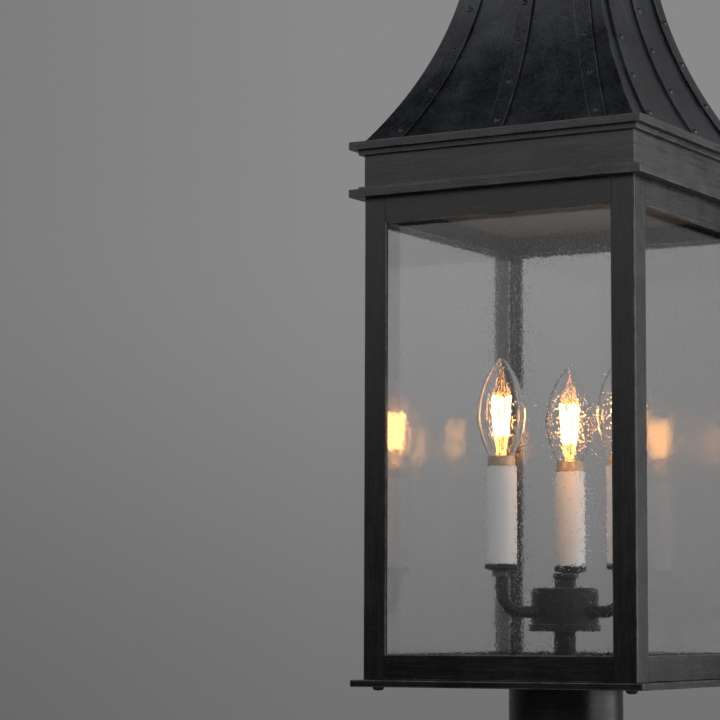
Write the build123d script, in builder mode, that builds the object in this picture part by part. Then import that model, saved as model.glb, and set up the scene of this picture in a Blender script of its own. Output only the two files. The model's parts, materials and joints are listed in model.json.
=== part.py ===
from build123d import *
from math import cos, radians, sin, sqrt
import os

# Post top lantern. Millimetres, +Z up. The origin is the point on the post's axis where the
# underside of the base plate rests on the post. -Y is the front, +X the right-hand side.

os.makedirs("parts", exist_ok=True)

# ------------------------------------------------------------------ driving dimensions
# Running and seating clearances
lift_gap = 0.2  # under the cage, where it stands on the base plate
head_gap = 0.1  # between the base plate and the heads of the cage screws
thread_gap = 0.05  # radial, between a screw and its tapped hole
glass_gap = 0.2  # round the panes
bulb_gap = 0.3  # under a bulb's collar and under its contact

# Body: the square that the corner posts stand on
body_size = 211.4

# Base plate and post fitter
plate_margin = 7.1  # beyond the body
plate_t = 4.8
plate_edge = 0.6
plate_corner = 1.2
fitter_r = 40.9
fitter_bore_r = 38.75
fitter_length = 80.0
fitter_edge = 0.8

# Clamp screws of the fitter
set_screw_count = 3
set_screw_r = 3.0
set_screw_head_r = 5.4
set_screw_head_t = 4.5
set_screw_standoff = 6.0  # head to fitter wall, before tightening
set_screw_drop = 58.0  # below the plate
set_screw_recess = 0.2  # tip to bore wall

# Glazed cage
leg_w = 18.1  # visible width of a corner post
leg_t = 9.6  # how far the glass is set back
bottom_rail_h = 17.6
opening_h = 303.9
top_rail_h = 18.9
frame_edge = 0.6
pane_t = 3.0
pane_rebate = 3.0  # foot of the cage to the foot of a pane
clip_w = 12.0
clip_t = 1.0
clip_lip = 6.0
clip_pitch = 110.0
tray_t = 1.2
tray_depth = 3.4

# Screws that hold the cage down
cage_screw_r = 2.0
cage_screw_head_r = 4.2
cage_screw_head_t = 2.6
cage_screw_engaged = 9.0
cage_screw_inset = 7.8  # from the body's faces
plate_hole_gap = 0.25

# Entablature and roof
moulding_overhang = 8.6  # beyond the body
moulding_t = 5.8
step_inset = 5.0
lower_step_t = 2.2
upper_step_t = 3.5
moulding_edge = 0.6
moulding_ledge = 22.3  # outer edge to opening
frieze_margin = 0.3  # beyond the body
frieze_h = 22.8
frieze_wall = 2.0
roof_margin = 0.8  # beyond the frieze
roof_neck = 100.0
roof_h = 145.0
roof_sheet = 1.8
roof_hollow_r = 308.0  # radius of its concave line
batten_w = 12.8
batten_rise = 2.2
batten_place = 0.755  # share of the half width where the outer battens run
rivet_r = 1.85
rivet_h = 1.2
rivet_sides = 8
rivet_taper = 40.0
rivet_seat = 0.03  # lets the flat foot clear the batten's hollow curve
rivet_first = 7.0  # above the eaves
rivet_last = 14.8  # below the neck
rivet_rows = 5

# Crown
cap_overhang = 8.0  # beyond the roof's neck
cap_t = 5.0
cap_step_t = 2.5
cap_step_inset = 4.0
cap_wall = 2.0
crown_h = 27.0
crown_hollow_r = 70.0  # radius of its concave line
crown_top = 18.0
finial_ball_r = 8.5
finial_neck_r = 4.2
finial_foot_r = 8.0
finial_foot_t = 3.0
finial_neck_h = 5.0
finial_throat = 0.8  # beyond the neck, halfway down to the foot
finial_tip_r = 2.2
finial_tip_h = 2.8  # below its round end

# Candle cluster
nipple_r = 5.0
nipple_bore_r = 3.2
nipple_in_hub = 10.0
stem_r = 7.85
stem_h = 33.6
hub_cover_r = 25.8
hub_cover_t = 5.0
hub_r = 24.15
hub_h = 25.9
hub_shoulder = 3.2
hub_wall = 2.5
hub_cap_r = 8.2
hub_cap_h = 10.4
hub_cap_waist = 7.4
hub_cap_flare = 0.75  # share of its height where the flare ends
hub_stud = 6.0  # of the cap, down through the hub's top
arm_count = 3
arm_angle = 232.0  # of the first arm, from +X
arm_circle_r = 49.7
arm_r = 4.2
arm_bore_r = 2.6
arm_bend = 15.0
arm_rise = 8.8  # hub foot to arm axis
cup_z = 82.0
cup_r = 11.85
cup_t = 4.0
cup_edge = 1.2
cup_collar_r = 6.6
cup_collar_h = 5.0
arm_seat = 3.0  # how deep an arm sits in its collar
wire_hole_r = 2.6
sleeve_r = 11.1
sleeve_wall = 1.2
sleeve_h = 69.5
socket_r = 9.2
socket_below_rim = 3.5
socket_bore_r = 6.2
socket_bore_h = 19.0

# Bulbs
shell_r = 5.9
shell_tip_r = 2.6
shell_tip_h = 2.4
collar_r = 9.75
collar_h = 7.2
collar_flare = 3.0
glass_foot_r = 9.8
glass_r = 17.5
glass_rise = 28.0  # foot to widest
glass_h = 70.7
glass_tip_r = 1.6
glass_tip_t = 2.4
glass_wall = 0.8
rod_r = 1.1
stick_count = 6
stick_r = 0.75
stick_sides = 6
stick_foot = 16.0  # above the glass's foot
stick_h = 28.0
stick_foot_r = 2.6
stick_top_r = 6.0
spider_t = 0.6

# ------------------------------------------------------------------ worked-out sizes and levels
plate_size = body_size + 2 * plate_margin
moulding_size = body_size + 2 * moulding_overhang
moulding_opening = moulding_size - 2 * moulding_ledge
frieze_size = body_size + 2 * frieze_margin
roof_base = frieze_size + 2 * roof_margin
cap_size = roof_neck + 2 * cap_overhang
rivet_pitch = (roof_h - rivet_first - rivet_last) / (rivet_rows - 1)
body_half = body_size / 2
cage_foot = plate_t + lift_gap
sill_z = cage_foot + bottom_rail_h
lintel_z = sill_z + opening_h
cage_top = lintel_z + top_rail_h
pane_foot = cage_foot + pane_rebate
tray_z = cage_top - tray_depth
pane_top = tray_z - glass_gap
seat_half = body_half - leg_t  # inner faces of posts and rails, where the panes seat
lower_step_z = cage_top + moulding_t
frieze_z = lower_step_z + lower_step_t
upper_step_z = frieze_z + frieze_h
upper_plate_z = upper_step_z + upper_step_t
roof_z = upper_plate_z + moulding_t
neck_z = roof_z + roof_h
cap_plate_z = neck_z + cap_step_t
crown_z = cap_plate_z + cap_t
finial_z = crown_z + crown_h
hub_cover_z = plate_t + stem_h
hub_z = hub_cover_z + hub_cover_t
hub_top = hub_z + hub_h
arm_z = hub_z + arm_rise
sleeve_z = cup_z + cup_t
sleeve_top = sleeve_z + sleeve_h
socket_top = sleeve_top - socket_below_rim
collar_z = sleeve_top + bulb_gap
glass_z = collar_z + collar_h
shell_z = socket_top - socket_bore_h + bulb_gap
corners = {"front_left": (-1, -1), "front_right": (1, -1), "back_right": (1, 1), "back_left": (-1, 1)}
sides = {"front": 0, "right": 90, "back": 180, "left": 270}
arm_angles = [arm_angle + 360 / arm_count * k for k in range(arm_count)]
cage_screw_at = body_half - cage_screw_inset


def keep(piece, label):
    """Label a finished piece and write its STEP file."""
    piece.label = label
    export_step(piece, f"parts/{label}.step")


def side_plane(turn, z=0.0):
    """Level plane whose -Y axis points out of the side that is `turn` degrees round from the front."""
    return Plane(origin=(0, 0, z), x_dir=(cos(radians(turn)), sin(radians(turn)), 0), z_dir=(0, 0, 1))


def arm_end(angle, z):
    """Point on a candle's axis at the level z."""
    return (arm_circle_r * cos(radians(angle)), arm_circle_r * sin(radians(angle)), z)


# ------------------------------------------------------------------ base plate and fitter
with BuildPart() as base_plate:
    with BuildSketch():
        Rectangle(plate_size, plate_size)
    extrude(amount=plate_t)
    chamfer(base_plate.edges().filter_by(Axis.Z), length=plate_corner)
    chamfer(base_plate.faces().sort_by(Axis.Z)[-1].edges(), length=plate_edge)
    chamfer(base_plate.faces().sort_by(Axis.Z)[0].edges(), length=plate_edge)
    with BuildSketch():
        Circle(nipple_r + thread_gap)
        with GridLocations(2 * cage_screw_at, 2 * cage_screw_at, 2, 2):
            Circle(cage_screw_r + plate_hole_gap)
    extrude(amount=plate_t, mode=Mode.SUBTRACT)
keep(base_plate.part, "base_plate")

with BuildPart() as post_fitter:
    with BuildSketch(Plane.XY.offset(-fitter_length)):
        Circle(fitter_r)
        Circle(fitter_bore_r, mode=Mode.SUBTRACT)
    extrude(amount=fitter_length)
    chamfer(post_fitter.edges().group_by(Axis.Z)[0], length=fitter_edge)
    for k in range(set_screw_count):
        turn = 90 + 360 / set_screw_count * k
        with BuildSketch(Plane(origin=(0, 0, -set_screw_drop), z_dir=(cos(radians(turn)), sin(radians(turn)), 0))):
            Circle(set_screw_r + thread_gap)
        extrude(amount=2 * fitter_r, mode=Mode.SUBTRACT)
keep(post_fitter.part, "post_fitter")

for k in range(set_screw_count):
    turn = 90 + 360 / set_screw_count * k
    tip = fitter_bore_r + set_screw_recess
    head = fitter_r + set_screw_standoff
    out = (cos(radians(turn)), sin(radians(turn)), 0)
    with BuildPart() as set_screw:
        with BuildSketch(Plane(origin=(0, 0, -set_screw_drop), z_dir=out).offset(tip)):
            Circle(set_screw_r)
        extrude(amount=head - tip)
        with BuildSketch(Plane(origin=(0, 0, -set_screw_drop), z_dir=out).offset(head)):
            RegularPolygon(set_screw_head_r, 6)
        extrude(amount=set_screw_head_t)
    keep(set_screw.part, f"set_screw_{k + 1}")

# ------------------------------------------------------------------ stem and hub
with BuildPart() as nipple:
    with BuildSketch():
        Circle(nipple_r)
        Circle(nipple_bore_r, mode=Mode.SUBTRACT)
    extrude(amount=hub_z + nipple_in_hub)
keep(nipple.part, "nipple")

with BuildPart() as stem:
    with BuildSketch(Plane.XY.offset(plate_t)):
        Circle(stem_r)
        Circle(nipple_r + thread_gap, mode=Mode.SUBTRACT)
    extrude(amount=stem_h)
keep(stem.part, "stem")

with BuildPart() as hub_cover:
    with BuildSketch(Plane.XY.offset(hub_cover_z)):
        Circle(hub_cover_r)
        Circle(nipple_r + thread_gap, mode=Mode.SUBTRACT)
    extrude(amount=hub_cover_t)
    rims = hub_cover.edges().filter_by(GeomType.CIRCLE).filter_by(lambda edge: edge.radius > hub_r)
    chamfer(rims, length=plate_edge)
keep(hub_cover.part, "hub_cover")

with BuildPart() as hub_body:
    with BuildSketch(Plane.XY.offset(hub_z)):
        Circle(hub_r)
    extrude(amount=hub_h)
    fillet(hub_body.faces().sort_by(Axis.Z)[-1].edges(), radius=hub_shoulder)
    with BuildSketch(Plane.XY.offset(hub_z)):
        Circle(hub_r - hub_wall)
    extrude(amount=hub_h - hub_wall, mode=Mode.SUBTRACT)
    with BuildSketch(Plane.XY.offset(hub_top)):
        Circle(nipple_r + thread_gap)
    extrude(amount=-2 * hub_wall, mode=Mode.SUBTRACT)
    for angle in arm_angles:
        with BuildSketch(Plane(origin=(0, 0, arm_z), z_dir=(cos(radians(angle)), sin(radians(angle)), 0))):
            Circle(arm_r + thread_gap)
        extrude(amount=2 * hub_r, mode=Mode.SUBTRACT)
keep(hub_body.part, "hub_body")

with BuildPart() as hub_cap:
    with BuildSketch(Plane.XZ):
        with BuildLine():
            Polyline(
                (0, hub_top - hub_stud),
                (nipple_r, hub_top - hub_stud),
                (nipple_r, hub_top),
                (hub_cap_waist, hub_top),
                (hub_cap_waist, hub_top + hub_cap_h / 2),
                (hub_cap_r, hub_top + hub_cap_h * hub_cap_flare),
                (hub_cap_r, hub_top + hub_cap_h),
                (0, hub_top + hub_cap_h),
                close=True,
            )
        make_face()
    revolve(axis=Axis.Z)
keep(hub_cap.part, "hub_cap")

# ------------------------------------------------------------------ arms, cups, sleeves, sockets
for k, angle in enumerate(arm_angles):
    upright = Plane(origin=(0, 0, 0), x_dir=(cos(radians(angle)), sin(radians(angle)), 0),
                    z_dir=(sin(radians(angle)), -cos(radians(angle)), 0))
    arm_start = hub_r - hub_wall
    arm_top = cup_z - cup_collar_h + arm_seat
    with BuildPart() as arm:
        with BuildLine(upright) as route:
            run = Line((arm_start, arm_z), (arm_circle_r - arm_bend, arm_z))
            bend = TangentArc(run @ 1, (arm_circle_r, arm_z + arm_bend), tangent=run % 1)
            Line(bend @ 1, (arm_circle_r, arm_top))
        with BuildSketch(Plane(origin=route.line @ 0, z_dir=route.line % 0)):
            Circle(arm_r)
            Circle(arm_bore_r, mode=Mode.SUBTRACT)
        sweep()
    keep(arm.part, f"arm_{k + 1}")

    with BuildPart() as cup:
        with BuildSketch(Plane(origin=arm_end(angle, cup_z))):
            Circle(cup_r)
        extrude(amount=cup_t)
        chamfer(cup.faces().sort_by(Axis.Z)[0].edges(), length=cup_edge)
        with BuildSketch(Plane(origin=arm_end(angle, cup_z))):
            Circle(cup_collar_r)
        extrude(amount=-cup_collar_h)
        with BuildSketch(Plane(origin=arm_end(angle, cup_z - cup_collar_h))):
            Circle(arm_r + thread_gap)
        extrude(amount=arm_seat, mode=Mode.SUBTRACT)
        with BuildSketch(Plane(origin=arm_end(angle, cup_z - cup_collar_h))):
            Circle(wire_hole_r)
        extrude(amount=cup_collar_h + cup_t, mode=Mode.SUBTRACT)
    keep(cup.part, f"cup_{k + 1}")

    with BuildPart() as sleeve:
        with BuildSketch(Plane(origin=arm_end(angle, sleeve_z))):
            Circle(sleeve_r)
            Circle(sleeve_r - sleeve_wall, mode=Mode.SUBTRACT)
        extrude(amount=sleeve_h)
    keep(sleeve.part, f"sleeve_{k + 1}")

    with BuildPart() as socket:
        with BuildSketch(Plane(origin=arm_end(angle, sleeve_z))):
            Circle(socket_r)
        extrude(amount=socket_top - sleeve_z)
        with BuildSketch(Plane(origin=arm_end(angle, socket_top))):
            Circle(socket_bore_r)
        extrude(amount=-socket_bore_h, mode=Mode.SUBTRACT)
    keep(socket.part, f"socket_{k + 1}")

# ------------------------------------------------------------------ bulbs
for k, angle in enumerate(arm_angles):
    axis_plane = Plane(origin=arm_end(angle, 0), x_dir=(1, 0, 0), z_dir=(0, -1, 0))
    axis_line = Axis(arm_end(angle, 0), (0, 0, 1))
    with BuildPart() as bulb_base:
        with BuildSketch(axis_plane):
            with BuildLine():
                Polyline(
                    (0, shell_z),
                    (shell_tip_r, shell_z),
                    (shell_r, shell_z + shell_tip_h),
                    (shell_r, collar_z - collar_flare),
                    (collar_r, collar_z),
                    (collar_r, glass_z),
                    (0, glass_z),
                    close=True,
                )
            make_face()
        revolve(axis=axis_line)
    keep(bulb_base.part, f"bulb_base_{k + 1}")

    wide_z = glass_z + glass_rise
    tip_z = glass_z + glass_h
    with BuildPart() as bulb_glass:
        with BuildSketch(axis_plane):
            with BuildLine():
                widest, inner = (glass_r, wide_z), (glass_r - glass_wall, wide_z)
                TangentArc(widest, (glass_foot_r, glass_z), tangent=(0, -1))
                TangentArc(widest, (glass_tip_r, tip_z), tangent=(0, 1))
                Polyline((glass_tip_r, tip_z), (0, tip_z), (0, tip_z - glass_tip_t),
                         (glass_tip_r, tip_z - glass_tip_t))
                TangentArc(inner, (glass_tip_r, tip_z - glass_tip_t), tangent=(0, 1))
                TangentArc(inner, (glass_foot_r - glass_wall, glass_z), tangent=(0, -1))
                Line((glass_foot_r - glass_wall, glass_z), (glass_foot_r, glass_z))
            make_face()
        revolve(axis=axis_line)
    keep(bulb_glass.part, f"bulb_glass_{k + 1}")

    stick_z = glass_z + stick_foot
    with BuildPart() as bulb_filament:
        with BuildSketch(Plane(origin=arm_end(angle, glass_z))):
            Circle(rod_r)
        extrude(amount=stick_foot + stick_h)
        with BuildSketch(Plane(origin=arm_end(angle, stick_z))):
            Circle(stick_foot_r + stick_r)
        extrude(amount=-spider_t)
        with BuildSketch(Plane(origin=arm_end(angle, stick_z + stick_h))):
            Circle(stick_top_r + stick_r)
        extrude(amount=spider_t)
        lean = stick_top_r - stick_foot_r
        for n in range(stick_count):
            way = radians(360 / stick_count * n)
            foot = Vector(*arm_end(angle, stick_z)) + Vector(cos(way), sin(way), 0) * stick_foot_r
            with BuildSketch(Plane(origin=foot, z_dir=(lean * cos(way), lean * sin(way), stick_h))):
                RegularPolygon(stick_r, stick_sides)
            extrude(amount=sqrt(lean**2 + stick_h**2))
    keep(bulb_filament.part, f"bulb_filament_{k + 1}")

# ------------------------------------------------------------------ glazed cage
for name, (sx, sy) in corners.items():
    inner_w = leg_w - leg_t
    with BuildPart() as corner_post:
        with BuildSketch(Plane.XY.offset(cage_foot)):
            with Locations((sx * (body_half - leg_w / 2), sy * (body_half - leg_w / 2))):
                Rectangle(leg_w, leg_w)
            with Locations((sx * (body_half - leg_t - inner_w / 2), sy * (body_half - leg_t - inner_w / 2))):
                Rectangle(inner_w, inner_w, mode=Mode.SUBTRACT)
        extrude(amount=cage_top - cage_foot)
        outer_edge = corner_post.edges().filter_by(Axis.Z).sort_by(
            lambda edge: sx * edge.center().X + sy * edge.center().Y)[-1]
        chamfer(outer_edge, length=frame_edge)
        with BuildSketch(Plane.XY.offset(cage_foot)):
            with Locations((sx * cage_screw_at, sy * cage_screw_at)):
                Circle(cage_screw_r + thread_gap)
        extrude(amount=cage_screw_engaged + head_gap + thread_gap, mode=Mode.SUBTRACT)
    keep(corner_post.part, f"corner_post_{name}")

for name, turn in sides.items():
    rail_y = -(body_half - leg_t / 2)
    with BuildPart() as bottom_rail:
        with BuildSketch(side_plane(turn, cage_foot)):
            with Locations((0, rail_y)):
                Rectangle(body_size - 2 * leg_w, leg_t)
        extrude(amount=bottom_rail_h)
    keep(bottom_rail.part, f"bottom_rail_{name}")

    with BuildPart() as top_rail:
        with BuildSketch(side_plane(turn, lintel_z)):
            with Locations((0, rail_y)):
                Rectangle(body_size - 2 * leg_w, leg_t)
        extrude(amount=top_rail_h)
    keep(top_rail.part, f"top_rail_{name}")

    # The side panes stand between the front and back ones.
    reach = seat_half if turn % 180 == 0 else seat_half - pane_t
    with BuildPart() as pane:
        with BuildSketch(side_plane(turn, pane_foot)):
            with Locations((0, -(seat_half - pane_t / 2))):
                Rectangle(2 * (reach - glass_gap), pane_t)
        extrude(amount=pane_top - pane_foot)
    keep(pane.part, f"pane_{name}")

with BuildPart() as glass_clips:
    for turn in sides.values():
        for slide in (-clip_pitch / 2, clip_pitch / 2):
            with BuildSketch(side_plane(turn, pane_foot)):
                with Locations((slide, -(seat_half - (pane_t + clip_t) / 2))):
                    Rectangle(clip_w, pane_t + clip_t)
            extrude(amount=-clip_t)
            with BuildSketch(side_plane(turn, pane_foot)):
                with Locations((slide, -(seat_half - pane_t - clip_t / 2))):
                    Rectangle(clip_w, clip_t)
            extrude(amount=clip_lip)
keep(glass_clips.part, "glass_clips")

with BuildPart() as ceiling_tray:
    with BuildSketch(Plane.XY.offset(tray_z)):
        Rectangle(2 * seat_half, 2 * seat_half)
    extrude(amount=tray_depth)
    with BuildSketch(Plane.XY.offset(tray_z + tray_t)):
        Rectangle(2 * (seat_half - tray_t), 2 * (seat_half - tray_t))
    extrude(amount=tray_depth, mode=Mode.SUBTRACT)
keep(ceiling_tray.part, "ceiling_tray")

with BuildPart() as cage_screws:
    with BuildSketch(Plane.XY.offset(-head_gap)):
        with GridLocations(2 * cage_screw_at, 2 * cage_screw_at, 2, 2):
            Circle(cage_screw_r)
    extrude(amount=head_gap + cage_foot + cage_screw_engaged)
    with BuildSketch(Plane.XY.offset(-head_gap)):
        with GridLocations(2 * cage_screw_at, 2 * cage_screw_at, 2, 2):
            Circle(cage_screw_head_r)
    extrude(amount=-cage_screw_head_t)
    chamfer(cage_screws.edges().group_by(Axis.Z)[0], length=cage_screw_head_t / 3)
keep(cage_screws.part, "cage_screws")


# ------------------------------------------------------------------ entablature
def moulding(plate_z, step_z, step_t):
    """Square moulding ring: a plate with a narrower step above or below it."""
    step_size = moulding_size - 2 * step_inset
    with BuildPart() as ring:
        with BuildSketch(Plane.XY.offset(plate_z)):
            Rectangle(moulding_size, moulding_size)
        extrude(amount=moulding_t)
        chamfer(ring.edges(), length=moulding_edge)
        with BuildSketch(Plane.XY.offset(step_z)):
            Rectangle(step_size, step_size)
        extrude(amount=step_t)
        with BuildSketch(Plane.XY.offset(min(plate_z, step_z))):
            Rectangle(moulding_opening, moulding_opening)
        extrude(amount=moulding_t + step_t, mode=Mode.SUBTRACT)
    return ring.part


keep(moulding(cage_top, lower_step_z, lower_step_t), "lower_moulding")
keep(moulding(upper_plate_z, upper_step_z, upper_step_t), "upper_moulding")

with BuildPart() as frieze:
    with BuildSketch(Plane.XY.offset(frieze_z)):
        Rectangle(frieze_size, frieze_size)
        Rectangle(frieze_size - 2 * frieze_wall, frieze_size - 2 * frieze_wall, mode=Mode.SUBTRACT)
    extrude(amount=frieze_h)
keep(frieze.part, "frieze")


# ------------------------------------------------------------------ roof
def roof_half(z):
    """Half width of the roof's sheet at the level z, and its slope there (level run per rise)."""
    base, neck = roof_base / 2, roof_neck / 2
    chord = sqrt((base - neck) ** 2 + roof_h**2)
    reach = sqrt(roof_hollow_r**2 - (chord / 2) ** 2)
    centre_x = (base + neck) / 2 + reach * roof_h / chord
    centre_z = roof_z + roof_h / 2 + reach * (base - neck) / chord
    level = sqrt(roof_hollow_r**2 - (z - centre_z) ** 2)
    return centre_x - level, (z - centre_z) / level


def roof_edge(spread=0.0, share=1.0):
    """Foot, middle and neck of the roof's concave line, `share` of the half width from the middle."""
    return [(share * roof_half(z)[0] + spread, z) for z in (roof_z, roof_z + roof_h / 2, neck_z)]


def hip_block(right):
    """Solid concave hip block whose four faces follow the arc through the points `right`."""
    left = [(-x, z) for x, z in reversed(right)]
    with BuildPart() as block:
        for plane, mode in ((Plane.XZ, Mode.ADD), (Plane.YZ, Mode.INTERSECT)):
            with BuildSketch(plane):
                with BuildLine():
                    ThreePointArc(*right)
                    Line(right[-1], left[0])
                    ThreePointArc(*left)
                    Line(left[-1], right[0])
                make_face()
            extrude(amount=roof_base, both=True, mode=mode)
    return block.part


def batten_side(points, share):
    """Side of a batten as seen from its face: straight on the middle one and an arc on the others."""
    return ThreePointArc(*points) if share else Line(points[0], points[-1])


roof_solid = hip_block(roof_edge())
roof_core = hip_block(roof_edge(-roof_sheet))
batten_skin = hip_block(roof_edge(batten_rise))

with BuildPart() as roof_shell:
    add(roof_solid)
    add(roof_core, mode=Mode.SUBTRACT)
keep(roof_shell.part, "roof_shell")

with BuildPart() as roof_battens:
    for turn in sides.values():
        face = Plane(origin=(0, 0, 0), x_dir=(cos(radians(turn)), sin(radians(turn)), 0),
                     z_dir=(sin(radians(turn)), -cos(radians(turn)), 0))
        for share in (-batten_place, 0.0, batten_place):
            near = roof_edge(-batten_w / 2, share)
            far = list(reversed(roof_edge(batten_w / 2, share)))
            with BuildSketch(face):
                with BuildLine():
                    batten_side(near, share)
                    Line(near[-1], far[0])
                    batten_side(far, share)
                    Line(far[-1], near[0])
                make_face()
            extrude(amount=roof_base)
    add(batten_skin, mode=Mode.INTERSECT)
    add(roof_solid, mode=Mode.SUBTRACT)
keep(roof_battens.part, "roof_battens")

with BuildPart() as rivet:
    with BuildSketch():
        RegularPolygon(rivet_r, rivet_sides)
    extrude(amount=rivet_h, taper=rivet_taper)

with BuildPart() as roof_rivets:
    for turn in sides.values():
        out = Vector(sin(radians(turn)), -cos(radians(turn)), 0)
        along = Vector(cos(radians(turn)), sin(radians(turn)), 0)
        for row in range(rivet_rows):
            z = roof_z + rivet_first + rivet_pitch * row
            half, slope = roof_half(z)
            normal = out + Vector(0, 0, -slope)
            for share in (-batten_place, 0.0, batten_place):
                spot = out * (half + batten_rise + rivet_seat) + along * (share * half) + Vector(0, 0, z)
                with Locations(Plane(origin=spot, x_dir=along, z_dir=normal)):
                    add(rivet.part)
keep(roof_rivets.part, "roof_rivets")

# ------------------------------------------------------------------ crown
def crown_edge(wall):
    """Foot, middle and top of the crown's concave line, sunk and drawn in by `wall`."""
    foot, top = roof_neck / 2 - wall, crown_top / 2 - wall
    line = RadiusArc((foot, crown_z - wall), (top, finial_z - wall), crown_hollow_r, mode=Mode.PRIVATE)
    return [(point.X, point.Y) for point in (line @ 0, line @ 0.5, line @ 1)]


with BuildPart() as roof_cap:
    with BuildSketch(Plane.XY.offset(neck_z)):
        Rectangle(cap_size - 2 * cap_step_inset, cap_size - 2 * cap_step_inset)
    extrude(amount=cap_step_t)
    with BuildSketch(Plane.XY.offset(cap_plate_z)):
        Rectangle(cap_size, cap_size)
    extrude(amount=cap_t)
    chamfer(roof_cap.faces().sort_by(Axis.Z)[-1].edges(), length=moulding_edge)
    add(hip_block(crown_edge(0.0)))
    with BuildSketch(Plane.XY.offset(neck_z)):
        Rectangle(roof_neck - 2 * cap_wall, roof_neck - 2 * cap_wall)
    extrude(amount=crown_z - cap_wall - neck_z, mode=Mode.SUBTRACT)
    add(hip_block(crown_edge(cap_wall)), mode=Mode.SUBTRACT)
keep(roof_cap.part, "roof_cap")

ball_z = finial_z + finial_foot_t + finial_neck_h + sqrt(finial_ball_r**2 - finial_neck_r**2)
ball_top = ball_z + sqrt(finial_ball_r**2 - finial_tip_r**2)
tip_top = ball_top + finial_tip_h + finial_tip_r
with BuildPart() as finial:
    with BuildSketch(Plane.XZ):
        with BuildLine():
            Polyline((0, finial_z), (finial_foot_r, finial_z), (finial_foot_r, finial_z + finial_foot_t))
            ThreePointArc(
                (finial_foot_r, finial_z + finial_foot_t),
                (finial_neck_r + finial_throat, finial_z + finial_foot_t + finial_neck_h / 2),
                (finial_neck_r, finial_z + finial_foot_t + finial_neck_h),
            )
            ThreePointArc(
                (finial_neck_r, finial_z + finial_foot_t + finial_neck_h),
                (finial_ball_r, ball_z),
                (finial_tip_r, ball_top),
            )
            Line((finial_tip_r, ball_top), (finial_tip_r, ball_top + finial_tip_h))
            RadiusArc((finial_tip_r, ball_top + finial_tip_h), (0, tip_top), -finial_tip_r)
            Line((0, tip_top), (0, finial_z))
        make_face()
    revolve(axis=Axis.Z)
keep(finial.part, "finial")
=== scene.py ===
"""Looks of a square post top lantern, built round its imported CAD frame.

Everything is in metres in the frame's own axes: +Z up, -Y out of the front face, +X out of the
right-hand face, and the origin where the underside of the base plate rests on the post. Each
sub-assembly is a class that holds its sizes and builds and dresses its own pieces. New pieces are
surfaces worked out as whole numpy arrays.
"""

import json
import logging
import math
from dataclasses import dataclass, field
from enum import Enum
from functools import cache

import bmesh
import bpy
import numpy as np
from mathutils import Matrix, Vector


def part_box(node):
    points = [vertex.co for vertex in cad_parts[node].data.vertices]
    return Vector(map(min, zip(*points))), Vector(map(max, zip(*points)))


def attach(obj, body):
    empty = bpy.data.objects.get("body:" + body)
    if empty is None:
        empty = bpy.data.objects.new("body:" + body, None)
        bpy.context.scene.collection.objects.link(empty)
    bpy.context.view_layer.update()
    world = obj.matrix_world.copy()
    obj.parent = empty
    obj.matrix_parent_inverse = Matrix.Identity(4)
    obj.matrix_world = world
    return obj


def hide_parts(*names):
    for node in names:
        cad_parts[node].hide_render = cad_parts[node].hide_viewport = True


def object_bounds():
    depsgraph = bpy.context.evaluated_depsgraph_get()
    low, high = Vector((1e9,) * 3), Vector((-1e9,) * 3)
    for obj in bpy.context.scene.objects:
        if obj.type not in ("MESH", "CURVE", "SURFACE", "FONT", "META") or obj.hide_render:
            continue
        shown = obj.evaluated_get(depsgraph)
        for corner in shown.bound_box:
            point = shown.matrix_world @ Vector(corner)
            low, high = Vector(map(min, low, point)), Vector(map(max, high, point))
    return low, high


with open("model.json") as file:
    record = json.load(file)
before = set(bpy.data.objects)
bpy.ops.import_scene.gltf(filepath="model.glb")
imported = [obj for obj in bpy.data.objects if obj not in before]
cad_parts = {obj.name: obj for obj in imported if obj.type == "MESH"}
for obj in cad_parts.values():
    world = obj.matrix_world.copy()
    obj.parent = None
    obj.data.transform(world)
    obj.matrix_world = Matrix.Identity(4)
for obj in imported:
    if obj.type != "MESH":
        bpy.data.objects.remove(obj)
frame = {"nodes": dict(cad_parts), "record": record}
CAD_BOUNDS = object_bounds()

LOG = logging.getLogger("lantern")
Array = np.ndarray
Colour = tuple[float, float, float]
Material, Node, Socket = bpy.types.Material, bpy.types.Node, bpy.types.NodeSocket
MM = 0.001
SAME_POINT = 1e-7
UP = np.array([0.0, 0.0, 1.0])
QUARTER = math.pi / 2


class Body(Enum):
    """CAD bodies that pieces ride on."""

    BASE = "base"
    CAGE = "cage"
    CAGE_SCREWS = "cage_screws"


class Slot(Enum):
    """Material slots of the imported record."""

    METAL = "black_metal"
    PANE = "seeded_glass"
    SLEEVE = "candle_sleeve"
    SOCKET = "socket_body"
    SHELL = "bulb_shell"
    ENVELOPE = "bulb_glass"
    FILAMENT = "filament"
    STEEL = "plated_steel"


class Grain(Enum):
    """How the brush marks under the coat run, as the stretch of their pattern along X, Y and Z."""

    LEVEL = (0.05, 0.05, 1.0)
    UPRIGHT = (1.0, 1.0, 0.05)
    CLOUDY = (1.0, 1.0, 1.0)


# ---------------------------------------------------------------------------------- surfaces


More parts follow.
